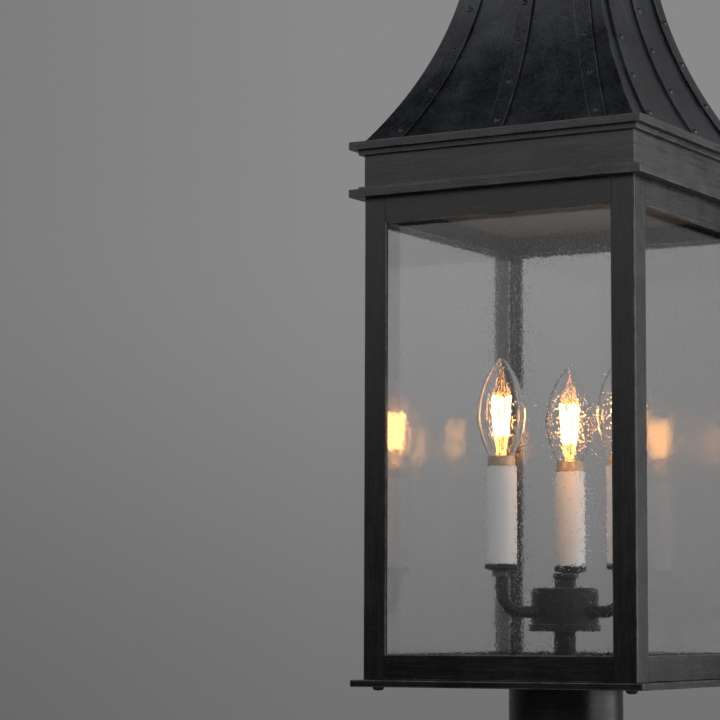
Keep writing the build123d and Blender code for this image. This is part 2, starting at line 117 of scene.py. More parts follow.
@dataclass
class Surface:
    """A mesh as arrays: points, four-sided faces and the end faces that close it."""

    points: Array
    quads: Array
    caps: list[Array] = field(default_factory=list)

    @staticmethod
    def grid(points: Array, wrap_rows: bool = False, wrap_columns: bool = True) -> "Surface":
        """Make a surface from a grid of points.

        Args:
            points: Grid of shape (rows, columns, 3).
            wrap_rows: Whether the last row joins the first.
            wrap_columns: Whether the last column joins the first.

        Returns:
            The surface, whose face (i, j) has the corners (i, j), (i, j+1), (i+1, j+1), (i+1, j).
        """
        rows, columns = points.shape[:2]
        index = np.arange(rows * columns).reshape(rows, columns)
        if wrap_rows:
            index = np.vstack([index, index[:1]])
        if wrap_columns:
            index = np.hstack([index, index[:, :1]])
        quads = np.stack([index[:-1, :-1], index[:-1, 1:], index[1:, 1:], index[1:, :-1]], axis=-1)
        return Surface(points.reshape(-1, 3), quads.reshape(-1, 4))

    def capped(self, rows: int) -> "Surface":
        """Close the first and last row of a grid of `rows` rows with one face each."""
        columns = len(self.points) // rows
        first = np.arange(columns)
        last = first + len(self.points) - columns
        return Surface(self.points, self.quads, [first[::-1], last])

    def moved(self, offset: Array | tuple[float, float, float]) -> "Surface":
        """Return the surface shifted by an offset."""
        return Surface(self.points + np.asarray(offset), self.quads, self.caps)

    def turned(self, angle: float) -> "Surface":
        """Return the surface turned about the Z axis by an angle in radians."""
        cos, sin = math.cos(angle), math.sin(angle)
        turn = np.array([[cos, -sin, 0.0], [sin, cos, 0.0], [0.0, 0.0, 1.0]])
        return Surface(self.points @ turn.T, self.quads, self.caps)

    def mapped(self, origin: Array, x_axis: Array, y_axis: Array, z_axis: Array) -> "Surface":
        """Return the surface carried into the frame with this origin and these unit axes."""
        axes = np.stack([x_axis, y_axis, z_axis])
        return Surface(self.points @ axes + np.asarray(origin), self.quads, self.caps)


def joined(surfaces: list[Surface]) -> Surface:
    """Join surfaces into one.

    Args:
        surfaces: The surfaces, whose points are kept apart.

    Returns:
        One surface with all their faces.
    """
    starts = np.cumsum([0] + [len(s.points) for s in surfaces])[:-1]
    caps = [cap + start for s, start in zip(surfaces, starts) for cap in s.caps]
    quads = np.vstack([s.quads + start for s, start in zip(surfaces, starts)])
    return Surface(np.vstack([s.points for s in surfaces]), quads, caps)


def rounded_outline(corners: Array, radius: float, steps: int = 3) -> Array:
    """Round the corners of a closed outline.

    Each corner is replaced by the arc that touches both of its sides: its centre lies on the
    corner's bisector at radius / sin(half the corner's angle).

    Args:
        corners: Corner points of shape (n, 2), in order.
        radius: Radius of every arc.
        steps: Number of steps along each arc.

    Returns:
        Points of the rounded outline, of shape (n * (steps + 1), 2).
    """
    back = np.roll(corners, 1, axis=0) - corners
    ahead = np.roll(corners, -1, axis=0) - corners
    back /= np.linalg.norm(back, axis=1, keepdims=True)
    ahead /= np.linalg.norm(ahead, axis=1, keepdims=True)
    half = np.arccos(np.clip((back * ahead).sum(1), -1, 1)) / 2
    bisector = back + ahead
    bisector /= np.linalg.norm(bisector, axis=1, keepdims=True)
    centres = corners + bisector * (radius / np.sin(half))[:, None]
    start = corners + back * (radius / np.tan(half))[:, None] - centres
    sign = np.sign(back[:, 1] * ahead[:, 0] - back[:, 0] * ahead[:, 1])
    sweep = sign[:, None] * (math.pi - 2 * half)[:, None] * np.linspace(0, 1, steps + 1)
    cos, sin = np.cos(sweep), np.sin(sweep)
    x = centres[:, :1] + start[:, :1] * cos - start[:, 1:] * sin
    y = centres[:, 1:] + start[:, :1] * sin + start[:, 1:] * cos
    return np.stack([x, y], axis=-1).reshape(-1, 2)


def inset(outline: Array, depth: Array) -> Array:
    """Draw a closed outline in along its own normals.

    Args:
        outline: Points of shape (n, 2), anticlockwise.
        depth: How far each copy is drawn in, of shape (k,).

    Returns:
        The copies, of shape (k, n, 2).
    """
    along = np.roll(outline, -1, axis=0) - np.roll(outline, 1, axis=0)
    along /= np.linalg.norm(along, axis=1, keepdims=True)
    inward = np.stack([-along[:, 1], along[:, 0]], axis=-1)
    return outline[None] + inward[None] * np.asarray(depth)[:, None, None]


def rounded_rims(low: float, high: float, radius: float, steps: int = 3) -> tuple[Array, Array]:
    """Levels and insets of a prism whose two rims are quarter rounds.

    A rim's level is radius * (1 - sin a) from the end and its inset radius * (1 - cos a), as a goes
    from a right angle to zero.

    Args:
        low: Level of the lower end.
        high: Level of the upper end.
        radius: Radius of both rims.
        steps: Number of steps along a rim.

    Returns:
        The levels and the insets, both of shape (2 * steps + 2,).
    """
    turn = np.linspace(math.pi / 2, 0, steps + 1)
    rise, draw = radius * (1 - np.sin(turn)), radius * (1 - np.cos(turn))
    return np.concatenate([low + rise, high - rise[::-1]]), np.concatenate([draw, draw[::-1]])


def prism(outline: Array, low: float, high: float, rim: float) -> Surface:
    """Upright prism on an anticlockwise outline, with both rims rounded and both ends closed."""
    levels, draws = rounded_rims(low, high, rim)
    rings = inset(outline, draws)
    heights = np.broadcast_to(levels[:, None, None], rings.shape[:2] + (1,))
    return Surface.grid(np.concatenate([rings, heights], axis=-1)).capped(len(levels))


def full_turn(count: int) -> Array:
    """Angles of even steps round a circle."""
    return np.linspace(0, 2 * math.pi, count, endpoint=False)


def rectangle(left: float, right: float, low: float, high: float) -> Array:
    """Corners of a rectangle, anticlockwise from its lower left."""
    return np.array([[left, low], [right, low], [right, high], [left, high]])


def bar(low: Array, high: Array, rim: float) -> Surface:
    """Box between two corners with every edge rounded by `rim`."""
    corners = rectangle(low[0], high[0], low[1], high[1])
    return prism(rounded_outline(corners, rim), low[2], high[2], rim)


def square_sweep(profile: Array, corner: float, closed: bool, steps: int = 3) -> Surface:
    """Carry a profile round a square with slightly rounded corners.

    A profile point at the half width p and the level z becomes, along the corner arc of the angle a
    in the quadrant with the signs (sx, sy), the point
    (sx * (p - corner) + corner * cos a, sy * (p - corner) + corner * sin a, z).

    Args:
        profile: Points (half width, level) of shape (n, 2).
        corner: Radius of the upright corners.
        closed: Whether the profile is a closed loop; an open one gets an end face at each end.
        steps: Number of steps round each corner.

    Returns:
        The swept surface.
    """
    quarter = np.linspace(0, math.pi / 2, steps + 1)
    turns = (quarter[None] + np.arange(4)[:, None] * math.pi / 2).ravel()
    sx = np.repeat([1, -1, -1, 1], steps + 1)
    sy = np.repeat([1, 1, -1, -1], steps + 1)
    reach = profile[:, :1] - corner
    x = reach * sx + corner * np.cos(turns)
    y = reach * sy + corner * np.sin(turns)
    z = np.broadcast_to(profile[:, 1:], x.shape)
    surface = Surface.grid(np.stack([x, y, z], axis=-1), wrap_rows=closed)
    return surface if closed else surface.capped(len(profile))


def rows_round(profile: Array, turns: Array) -> Array:
    """Rows of points round the Z axis: the point (r, z) becomes (r cos a, r sin a, z)."""
    x = profile[:, :1] * np.cos(turns)
    y = profile[:, :1] * np.sin(turns)
    return np.stack([x, y, np.broadcast_to(profile[:, 1:], x.shape)], axis=-1)


def revolve(profile: Array, segments: int = 64, closed: bool = False) -> Surface:
    """Turn a profile about the Z axis.

    Args:
        profile: Points (radius, level) of shape (n, 2).
        segments: Number of steps round the axis.
        closed: Whether the profile is a closed loop.

    Returns:
        The turned surface. An open profile's ends that stand off the axis are closed by a face.
    """
    surface = Surface.grid(rows_round(profile, full_turn(segments)), wrap_rows=closed)
    if closed:
        return surface
    capped = surface.capped(len(profile))
    ends = [cap for cap, r in zip(capped.caps, (profile[0, 0], profile[-1, 0])) if r > SAME_POINT]
    return Surface(surface.points, surface.quads, ends)


def threaded(radius: float, levels: Array, pitch: float, depth: float, turns: Array) -> Array:
    """Rows of points round the Z axis whose radius waves with a thread.

    The radius at the angle a and the level z is r - depth * (0.5 + 0.5 * cos(2 pi z / pitch - a)).

    Args:
        radius: Radius of the crests.
        levels: Levels of the rows.
        pitch: Pitch of the thread.
        depth: Depth of the thread.
        turns: Angles of the points of a row.

    Returns:
        Points of shape (levels, turns, 3).
    """
    height = np.broadcast_to(levels[:, None], (len(levels), len(turns)))
    wave = radius - depth * (0.5 + 0.5 * np.cos(2 * math.pi * height / pitch - turns))
    return np.stack([wave * np.cos(turns), wave * np.sin(turns), height], axis=-1)


def tube(path: Array, radius: Array, side: Array, segments: int = 32) -> Surface:
    """Carry a circle along a path that lies in one plane.

    At each point the circle is spanned by the plane's normal `side` and by the cross product of
    that normal and the path's direction.

    Args:
        path: Points of shape (n, 3).
        radius: Radius at each point, of shape (n,).
        side: Unit normal of the path's plane.
        segments: Number of steps round the circle.

    Returns:
        The closed tube.
    """
    along = np.gradient(path, axis=0)
    along /= np.linalg.norm(along, axis=1, keepdims=True)
    across = np.cross(side, along)
    turns = full_turn(segments)
    ring = side * np.cos(turns)[:, None] + across[:, None] * np.sin(turns)[:, None]
    return Surface.grid(path[:, None] + ring * radius[:, None, None]).capped(len(path))


def arc(centre: tuple[float, float], radius: float, start: float, end: float, steps: int) -> Array:
    """Points of an arc in a plane: centre + radius * (cos a, sin a), with a in degrees."""
    turns = np.radians(np.linspace(start, end, steps + 1))
    return np.stack([centre[0] + radius * np.cos(turns), centre[1] + radius * np.sin(turns)], axis=-1)


@dataclass(frozen=True)
class Hollow:
    """Hollow line of a roof: an arc through its foot and its top, whose centre lies outside.

    Both points are (half width, level), and the foot is the wider one.
    """

    foot: tuple[float, float]
    top: tuple[float, float]
    radius: float

    def centre(self) -> tuple[float, float]:
        """Centre of the arc, at sqrt(radius ** 2 - (chord / 2) ** 2) from the chord's middle."""
        fall, rise = self.foot[0] - self.top[0], self.top[1] - self.foot[1]
        chord = math.hypot(fall, rise)
        reach = math.sqrt(self.radius**2 - (chord / 2) ** 2)
        middle = (self.foot[0] + self.top[0]) / 2, (self.foot[1] + self.top[1]) / 2
        return middle[0] + reach * rise / chord, middle[1] + reach * fall / chord

    def half(self, level: Array) -> Array:
        """Half width at a level: centre - sqrt(radius ** 2 - (level - centre level) ** 2)."""
        across, height = self.centre()
        return across - np.sqrt(self.radius**2 - (level - height) ** 2)

    def slope(self, level: float) -> float:
        """Level run of the line per unit of rise."""
        offset = level - self.centre()[1]
        return offset / math.sqrt(self.radius**2 - offset**2)


# ---------------------------------------------------------------------------------- placing


def column(items: bpy.types.bpy_prop_collection, name: str, width: int = 1, kind: type = float) -> Array:
    """Read one property of every item of a mesh into an array of one or `width` columns."""
    values = np.empty(len(items) * width, dtype=kind)
    items.foreach_get(name, values)
    return values.reshape(-1, width) if width > 1 else values


def worn_and_highlit_faces(mesh: bpy.types.Mesh, narrow: float = 0.6 * MM, bend: float = 12.0) -> Array:
    """Find the narrow faces along eased outer edges, where a coat wears first and where a painted edge
    highlight goes.

    A face counts when its shortest side is under `narrow` and it meets a neighbour, over a ridge, at
    more than `bend`: the turn between two faces is 1 - the product of their normals, and the edge is
    a ridge where the neighbour's middle lies below the face.

    Args:
        mesh: The mesh, closed.
        narrow: Greatest width of such a face.
        bend: Least angle in degrees.

    Returns:
        One number for each face, 1 on worn edges that also carry a painted highlight, and 0 elsewhere.
    """
    faces = mesh.polygons
    normals, middles = column(faces, "normal", 3), column(faces, "center", 3)
    edge_of = column(mesh.loops, "edge_index", kind=int)
    ends = column(mesh.vertices, "co", 3)[column(mesh.edges, "vertices", 2, int)]
    length = np.linalg.norm(ends[:, 0] - ends[:, 1], axis=1)
    face_of = np.repeat(np.arange(len(faces)), column(faces, "loop_total", kind=int))
    order = np.argsort(edge_of, kind="stable")
    shared = np.flatnonzero(edge_of[order][:-1] == edge_of[order][1:])
    one, other = face_of[order][shared], face_of[order][shared + 1]
    ridge = ((middles[other] - middles[one]) * normals[one]).sum(1) < 0
    turn = (1 - (normals[one] * normals[other]).sum(1)) * ridge
    turned, shortest = np.zeros(len(faces)), np.ones(len(faces))
    np.maximum.at(turned, one, turn)
    np.maximum.at(turned, other, turn)
    np.minimum.at(shortest, face_of, length[edge_of])
    return ((shortest < narrow) & (turned > 1 - math.cos(math.radians(bend)))).astype(np.float32)


def place(
    surface: Surface,
    name: str,
    body: str,
    material: Material,
    replaces: tuple[str, ...] = (),
    sharp: float = 35.0,
) -> None:
    """Turn a surface into a piece of the object, at the origin with its place in its mesh.

    Args:
        surface: The piece's mesh, in place.
        name: Name of the piece.
        body: CAD body that it rides on.
        material: Its finish.
        replaces: CAD nodes that it stands for.
        sharp: Edges that turn by more than this many degrees are shaded sharp.
    """
    mesh = bpy.data.meshes.new(name)
    mesh.from_pydata(surface.points, [], surface.quads.tolist() + [cap.tolist() for cap in surface.caps])
    work = bmesh.new()
    work.from_mesh(mesh)
    bmesh.ops.remove_doubles(work, verts=work.verts, dist=SAME_POINT)
    bmesh.ops.recalc_face_normals(work, faces=work.faces)
    work.to_mesh(mesh)
    work.free()
    mesh.polygons.foreach_set("use_smooth", np.ones(len(mesh.polygons), dtype=bool))
    mesh.set_sharp_from_angle(angle=math.radians(sharp))
    # Edge mask for real coat wear that also places a painted edge highlight.
    mesh.attributes.new("edge_wear_and_highlight", "FLOAT", "FACE").data.foreach_set("value", worn_and_highlit_faces(mesh))
    mesh.materials.append(material)
    piece = bpy.data.objects.new(name, mesh)
    bpy.context.scene.collection.objects.link(piece)
    piece.modifiers.new("face_weighted", "WEIGHTED_NORMAL").keep_sharp = True
    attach(piece, body)
    if replaces:
        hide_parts(*replaces)
    LOG.info("%s: %d faces on body %s", name, len(mesh.polygons), body)


def dress(node: str, material: Material) -> None:
    """Give a CAD node that stays in view its finish."""
    mesh = frame["nodes"][node].data
    mesh.materials.clear()
    mesh.materials.append(material)
    LOG.info("%s: CAD node kept", node)


def span(node: str) -> tuple[Array, Array]:
    """Lowest and highest corner of a CAD node as arrays."""
    low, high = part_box(node)
    return np.array(low), np.array(high)


def axis_of(node: str) -> Array:
    """Point at level zero on the upright axis through the middle of a CAD node's box."""
    low, high = span(node)
    return (low + high) / 2 * (1, 1, 0)


# ---------------------------------------------------------------------------------- node tools


class Graph:
    """A node tree with short calls to add and join nodes."""

    def __init__(self, tree: bpy.types.NodeTree) -> None:
        """Start on an empty tree."""
        self.tree = tree
        tree.nodes.clear()

    def fill(self, node: Node, inputs: dict[str | int, object]) -> Node:
        """Give a node's inputs, by name or number, their values or source sockets."""
        for key, value in inputs.items():
            if isinstance(value, Socket):
                self.tree.links.new(value, node.inputs[key])
            else:
                node.inputs[key].default_value = value
        return node

    def add(self, kind: str, inputs: dict[str | int, object] | None = None, **settings: object) -> Node:
        """Add a node.

        Args:
            kind: Its type, such as "ShaderNodeMath".
            inputs: Value or source socket for each input, by name or number.
            **settings: Its own properties.

        Returns:
            The node.
        """
        node = self.tree.nodes.new(kind)
        for key, value in settings.items():
            setattr(node, key, value)
        return self.fill(node, inputs or {})

    def math(self, operation: str, *values: object, clamp: bool = False) -> Socket:
        """Add a Math node and return its result."""
        inputs = dict(enumerate(values))
        return self.add("ShaderNodeMath", inputs, operation=operation, use_clamp=clamp).outputs[0]

    def weighted(self, *terms: tuple[Socket, float]) -> Socket:
        """Add up values, each times its weight."""
        scaled = [self.math("MULTIPLY", value, weight) for value, weight in terms]
        result = scaled[0]
        for value in scaled[1:]:
            result = self.math("ADD", result, value)
        return result

    def swing(self, value: Socket, width: float) -> Socket:
        """Turn a noise about 0.5 into one about zero, `width` wide."""
        return self.math("MULTIPLY", self.math("SUBTRACT", value, 0.5), width)

    def spread(
        self, value: Socket, low: float, high: float, to_low: float = 0.0, to_high: float = 1.0,
        kind: str = "LINEAR",
    ) -> Socket:
        """Map a value from one range to another, clamped.

        Args:
            value: The value.
            low: Start of its range.
            high: End of its range.
            to_low: What the start becomes.
            to_high: What the end becomes.
            kind: How it runs between them, "LINEAR" or "SMOOTHSTEP".

        Returns:
            The mapped value.
        """
        inputs = {"Value": value, "From Min": low, "From Max": high, "To Min": to_low, "To Max": to_high}
        return self.add("ShaderNodeMapRange", inputs, interpolation_type=kind).outputs[0]

    def mix(self, factor: Socket, first: object, second: object) -> Socket:
        """Mix two values."""
        return self.add("ShaderNodeMix", {0: factor, 2: first, 3: second}).outputs[0]

    def blend(self, factor: Socket, first: object, second: object) -> Socket:
        """Mix two colours."""
        return self.add("ShaderNodeMix", {0: factor, 6: first, 7: second}, data_type="RGBA").outputs[2]

    def noise(self, vector: Socket, scale: float, detail: float = 2.0, rough: float = 0.5) -> Socket:
        """Add a Noise Texture and return its value."""
        inputs = {"Vector": vector, "Scale": scale, "Detail": detail, "Roughness": rough}
        return self.add("ShaderNodeTexNoise", inputs).outputs[0]

    def place(self, stretch: tuple[float, float, float] = (1.0, 1.0, 1.0)) -> Socket:
        """Object coordinates after a stretch."""
        coordinates = self.add("ShaderNodeTexCoord").outputs["Object"]
        return self.add("ShaderNodeMapping", {"Vector": coordinates, "Scale": stretch}).outputs[0]

    def bump(self, height: Socket, strength: float = 1.0) -> Socket:
        """Normal of a relief whose height is in metres."""
        inputs = {"Strength": strength, "Distance": 1.0, "Height": height}
        return self.add("ShaderNodeBump", inputs).outputs[0]

    def rays(self, *kinds: str) -> Socket:
        """1 for either of two kinds of ray, such as "Is Camera Ray", and 0 for the others."""
        path = self.add("ShaderNodeLightPath")
        return self.math("MAXIMUM", *(path.outputs[kind] for kind in kinds))

    def finish(self, shader: Node, kind: str = "Material") -> None:
        """Join a shader to the tree's output."""
        self.add(f"ShaderNodeOutput{kind}", {0: shader.outputs[0]})

    def principled(self, inputs: dict[str, object]) -> None:
        """End the tree in a Principled BSDF."""
        self.finish(self.add("ShaderNodeBsdfPrincipled", inputs))


FLOAT, COLOUR, VECTOR = "NodeSocketFloat", "NodeSocketColor", "NodeSocketVector"


def new_group(
    name: str, inputs: dict[str, tuple[str, object]], outputs: dict[str, str]
) -> tuple[bpy.types.NodeTree, Graph, Node, Node]:
    """Start a shader node group.

    Args:
        name: Name of the group.
        inputs: Socket type and starting value for each input.
        outputs: Socket type for each output.

    Returns:
        The group's tree, a Graph on it, and its input and output nodes.
    """
    tree = bpy.data.node_groups.new(name, "ShaderNodeTree")
    for label, (kind, value) in inputs.items():
        socket = tree.interface.new_socket(name=label, in_out="INPUT", socket_type=kind)
        socket.default_value = value
    for label, kind in outputs.items():
        tree.interface.new_socket(name=label, in_out="OUTPUT", socket_type=kind)
    graph = Graph(tree)
    return tree, graph, graph.add("NodeGroupInput"), graph.add("NodeGroupOutput")


@cache
def coat_group() -> bpy.types.NodeTree:
    """Fine-textured coat over brushed metal.

    Brush marks are noise on stretched coordinates, the coat's own texture is fine noise, and its
    clouds are broad noise. The tone runs between the two colours with all three, and worn edges turn
    to the lighter bare colour where the clouds are thick: part real wear, part painted edge highlight.
    Scales are in waves per metre, heights in metres.

    Returns:
        A group with the outputs Color, Roughness and Height.
    """
    inputs = {
        "Vector": (VECTOR, (0.0, 0.0, 0.0)),
        "Brushed": (VECTOR, (0.0, 0.0, 0.0)),
        "Dark": (COLOUR, (0.02, 0.02, 0.02, 1.0)),
        "Light": (COLOUR, (0.05, 0.05, 0.05, 1.0)),
        # Bare: the lighter colour of worn edges, which also stands for a painted edge highlight.
        "Bare And Highlight": (COLOUR, (0.12, 0.12, 0.125, 1.0)),
        "Edge Wear And Highlight": (FLOAT, 0.0),
        "Streaks": (FLOAT, 0.5),
        "Gloss": (FLOAT, 0.45),
    }
    outputs = {"Color": COLOUR, "Roughness": FLOAT, "Height": FLOAT}
    tree, graph, source, sink = new_group("coat over brushed metal", inputs, outputs)
    given = source.outputs
    marks = graph.noise(given["Brushed"], 900.0, 3.0, 0.6)
    long_marks = graph.noise(given["Brushed"], 260.0, 2.0, 0.55)
    grit = graph.noise(given["Vector"], 1000.0, 2.0, 0.75)
    clouds = graph.noise(given["Vector"], 38.0, 5.0, 0.62)
    stains = graph.noise(given["Vector"], 11.0, 3.0, 0.6)
    streak = graph.weighted((marks, 0.55), (long_marks, 0.45))
    patches = graph.weighted((clouds, 0.55), (stains, 0.45))
    tone = graph.math("ADD", graph.mix(given["Streaks"], patches, streak), graph.swing(grit, 0.7))
    tone = graph.math("POWER", graph.spread(tone, 0.36, 0.68), 1.6)
    # Worn edges turn lighter: part real wear, part painted edge highlight.
    rubbed_and_highlit = graph.spread(graph.weighted((clouds, 1.0), (grit, 0.4)), 0.55, 0.85, 0.15, 1.0)
    edge_wear_and_highlight = graph.math("MULTIPLY", given["Edge Wear And Highlight"], rubbed_and_highlit)
    colour = graph.blend(edge_wear_and_highlight, graph.blend(tone, given["Dark"], given["Light"]), given["Bare And Highlight"])
    rough = graph.math("ADD", given["Gloss"], graph.swing(streak, 0.35))
    rough = graph.math("ADD", rough, graph.swing(clouds, 0.3), clamp=True)
    height = graph.weighted((grit, 0.00003), (marks, 0.00003), (clouds, 0.00006))
    graph.fill(sink, {"Color": colour, "Roughness": rough, "Height": height})
    return tree


@cache
def seed_group() -> bpy.types.NodeTree:
    """Seeds and ripples of old-style sheet glass.

    The ripples are three sizes of noise. A seed is a round blister where a Voronoi cell's distance
    is under its radius, and only the cells whose own random value is high hold one. Scales are in
    waves or cells per metre, heights in metres.

    Returns:
        A group with the output Height.
    """
    inputs = {"Vector": (VECTOR, (0.0, 0.0, 0.0)), "Ripple": (FLOAT, 1.0), "Seeds": (FLOAT, 1.0)}
    tree, graph, source, sink = new_group("seeds and ripples", inputs, {"Height": FLOAT})
    vector = source.outputs["Vector"]
    swell = graph.noise(vector, 28.0, 1.0)
    wobble = graph.noise(vector, 170.0, 2.0, 0.6)
    crumb = graph.noise(vector, 560.0, 1.0)
    ripple = graph.weighted((swell, 0.00003), (wobble, 0.00002), (crumb, 0.000015))
    seeds = []
    for scale, radius, empty_share, strength in ((190.0, 0.085, 0.5, 1.0), (480.0, 0.24, 0.16, 0.34)):
        cells = graph.add("ShaderNodeTexVoronoi", {"Vector": vector, "Scale": scale, "Randomness": 1.0})
        dome = graph.math("POWER", graph.spread(cells.outputs["Distance"], 0.0, radius, 1.0, 0.0), 0.6)
        chance = graph.add("ShaderNodeSeparateColor", {0: cells.outputs["Color"]}).outputs[0]
        held = graph.math("GREATER_THAN", chance, empty_share)
        seeds.append(graph.math("MULTIPLY", dome, graph.math("MULTIPLY", held, strength)))
    blister = graph.math("MULTIPLY", graph.math("MAXIMUM", *seeds), 0.00009)
    height = graph.weighted((ripple, source.outputs["Ripple"]), (blister, source.outputs["Seeds"]))
    graph.fill(sink, {"Height": height})
    return tree


def new_material(name: str) -> tuple[Material, Graph]:
    """Start a node material."""
    material = bpy.data.materials.new(name)
    material.use_nodes = True
    return material, Graph(material.node_tree)


# ---------------------------------------------------------------------------------- finishes


@dataclass(frozen=True)
class CoatedMetal:
    """Black fine-textured coat, with the marks of the brushed metal showing through."""

    name: str
    grain: Grain
    dark: Colour = (0.0008, 0.0009, 0.001)
    light: Colour = (0.02, 0.0204, 0.021)
    streaks: float = 0.6
    gloss: float = 0.27
    bump: float = 0.8
    specular: float = 0.38

    def make(self) -> Material:
        """Build the material."""
        material, graph = new_material(self.name)
        values = {
            "Vector": graph.place(),
            "Brushed": graph.place(self.grain.value),
            "Dark": (*self.dark, 1.0),
            "Light": (*self.light, 1.0),
            # Edge mask: real wear and a painted edge highlight.
            "Edge Wear And Highlight": graph.add("ShaderNodeAttribute", attribute_name="edge_wear_and_highlight").outputs["Fac"],
            "Streaks": self.streaks,
            "Gloss": self.gloss,
        }
        coat = graph.add("ShaderNodeGroup", values, node_tree=coat_group())
        graph.principled({
            "Base Color": coat.outputs["Color"],
            "Roughness": coat.outputs["Roughness"],
            "Specular IOR Level": self.specular,
            "Normal": graph.bump(coat.outputs["Height"], self.bump),
        })
        return material


@dataclass(frozen=True)
class SheetGlass:
    """Clear glass that lets the lamps' light through without caustics."""

    name: str
    ripple: float
    seeds: float
    index: float = 1.5
    shadow: float = 0.94

    def make(self) -> Material:
        """Build the material."""
        material, graph = new_material(self.name)
        values = {"Vector": graph.place(), "Ripple": self.ripple, "Seeds": self.seeds}
        seeds = graph.add("ShaderNodeGroup", values, node_tree=seed_group())
        glass = graph.add("ShaderNodeBsdfPrincipled", {
            "Base Color": (1.0, 1.0, 1.0, 1.0),
            "Roughness": 0.0,
            "IOR": self.index,
            "Transmission Weight": 1.0,
            "Normal": graph.bump(seeds.outputs["Height"]),
        })
        clear = graph.add("ShaderNodeBsdfTransparent", {"Color": (*[self.shadow] * 3, 1.0)})
        passing = graph.rays("Is Shadow Ray", "Is Diffuse Ray")
        shaders = {0: passing, 1: glass.outputs[0], 2: clear.outputs[0]}
        graph.finish(graph.add("ShaderNodeMixShader", shaders))
        return material


@dataclass(frozen=True)
class Glow:
    """Hot filament stick under its thin yellow jacket, slightly uneven in colour; also the faint painted
    glow on the filament legs.
    """

    name: str
    colour: Colour
    strength: float
    lift: float = 1.15

    def make(self) -> Material:
        """Build the material."""
        material, graph = new_material(self.name)
        tone = graph.spread(graph.noise(graph.place(), 700.0, 1.0), 0.3, 0.7)
        pale = tuple(min(1.0, share * self.lift) for share in self.colour)
        colour = graph.blend(tone, (*self.colour, 1.0), (*pale, 1.0))
        graph.principled({
            "Base Color": colour,
            "Roughness": 0.5,
            "Emission Color": colour,
            "Emission Strength": self.strength,
        })
        return material


@dataclass(frozen=True)
class Plain:
    """Moulded or plated finish with faint mottling and fine bump."""

    name: str
    dark: Colour
    light: Colour
    roughness: float
    metallic: float = 0.0
    subsurface: float = 0.0
    mottle: float = 90.0
    fine: float = 2200.0
    relief: float = 0.00001
    swing: float = 0.06

    def make(self) -> Material:
        """Build the material."""
        material, graph = new_material(self.name)
        vector = graph.place()
        mottle = graph.spread(graph.noise(vector, self.mottle, 3.0), 0.3, 0.7)
        fine = graph.noise(vector, self.fine, 2.0)
        low, high = self.roughness - self.swing, self.roughness + self.swing
        graph.principled({
            "Base Color": graph.blend(mottle, (*self.dark, 1.0), (*self.light, 1.0)),
            "Roughness": graph.spread(fine, 0.2, 0.8, low, high),
            "Metallic": self.metallic,
            "Normal": graph.bump(graph.math("MULTIPLY", fine, self.relief)),
            "Subsurface Weight": self.subsurface,
            "Subsurface Radius": (0.004, 0.003, 0.002),
            "Subsurface Scale": 1.0,
        })
        return material


class Finishes:
    """Every finish of the lantern, made once."""

    def __init__(self) -> None:
        """Make the materials."""
        self.upright = CoatedMetal("coat_upright", Grain.UPRIGHT).make()
        self.level = CoatedMetal("coat_level", Grain.LEVEL).make()
        # Painted light: a lighter copy of the coat for the frieze and mouldings, standing for the stronger
        # light on the upper parts.
        self.frieze = CoatedMetal(
            "coat_frieze_painted_light", Grain.LEVEL, (0.002, 0.0021, 0.0023), (0.055, 0.0556, 0.0575), 0.55, 0.3
        ).make()
        self.tray = CoatedMetal(
            "coat_tray", Grain.LEVEL, (0.05, 0.05, 0.05), (0.13, 0.13, 0.128), 0.3, 0.45, 0.2
        ).make()
        self.roof = CoatedMetal(
            "coat_roof", Grain.CLOUDY, (0.003, 0.0036, 0.0052), (0.055, 0.059, 0.073), 0.25, 0.32
        ).make()
        self.turned = CoatedMetal("coat_turned", Grain.LEVEL, streaks=0.3, gloss=0.3, bump=0.4).make()
        self.pane = SheetGlass("seeded_pane", 1.0, 1.0, 1.58).make()
        self.envelope = SheetGlass("bulb_envelope", 0.04, 0.0).make()
        self.filament = Glow("filament_glow", (1.0, 0.46, 0.13), 26.0).make()
        # Painted glow: the legs are no lamp; their faint emission stands for the glare round the hot
        # sticks.
        self.legs = Glow("filament_legs_painted_glow", (1.0, 0.45, 0.12), 2.6).make()
        self.sleeve = Plain(
            "sleeve_white", (0.87, 0.86, 0.84), (0.91, 0.90, 0.885), 0.5, subsurface=0.1
        ).make()
        self.socket = Plain("socket_black", (0.02, 0.02, 0.02), (0.04, 0.038, 0.036), 0.4).make()
        self.collar = Plain("collar_tan", (0.46, 0.36, 0.25), (0.62, 0.5, 0.36), 0.38, 0.6).make()
        self.wire = Plain("support_wire", (0.32, 0.16, 0.07), (0.5, 0.27, 0.12), 0.3, 1.0).make()
        self.steel = Plain("plated_steel", (0.24, 0.24, 0.25), (0.4, 0.4, 0.41), 0.34, 0.9).make()
        self.dark_steel = Plain("dark_screw", (0.03, 0.03, 0.032), (0.06, 0.06, 0.063), 0.4, 0.4).make()


# ---------------------------------------------------------------------------------- base


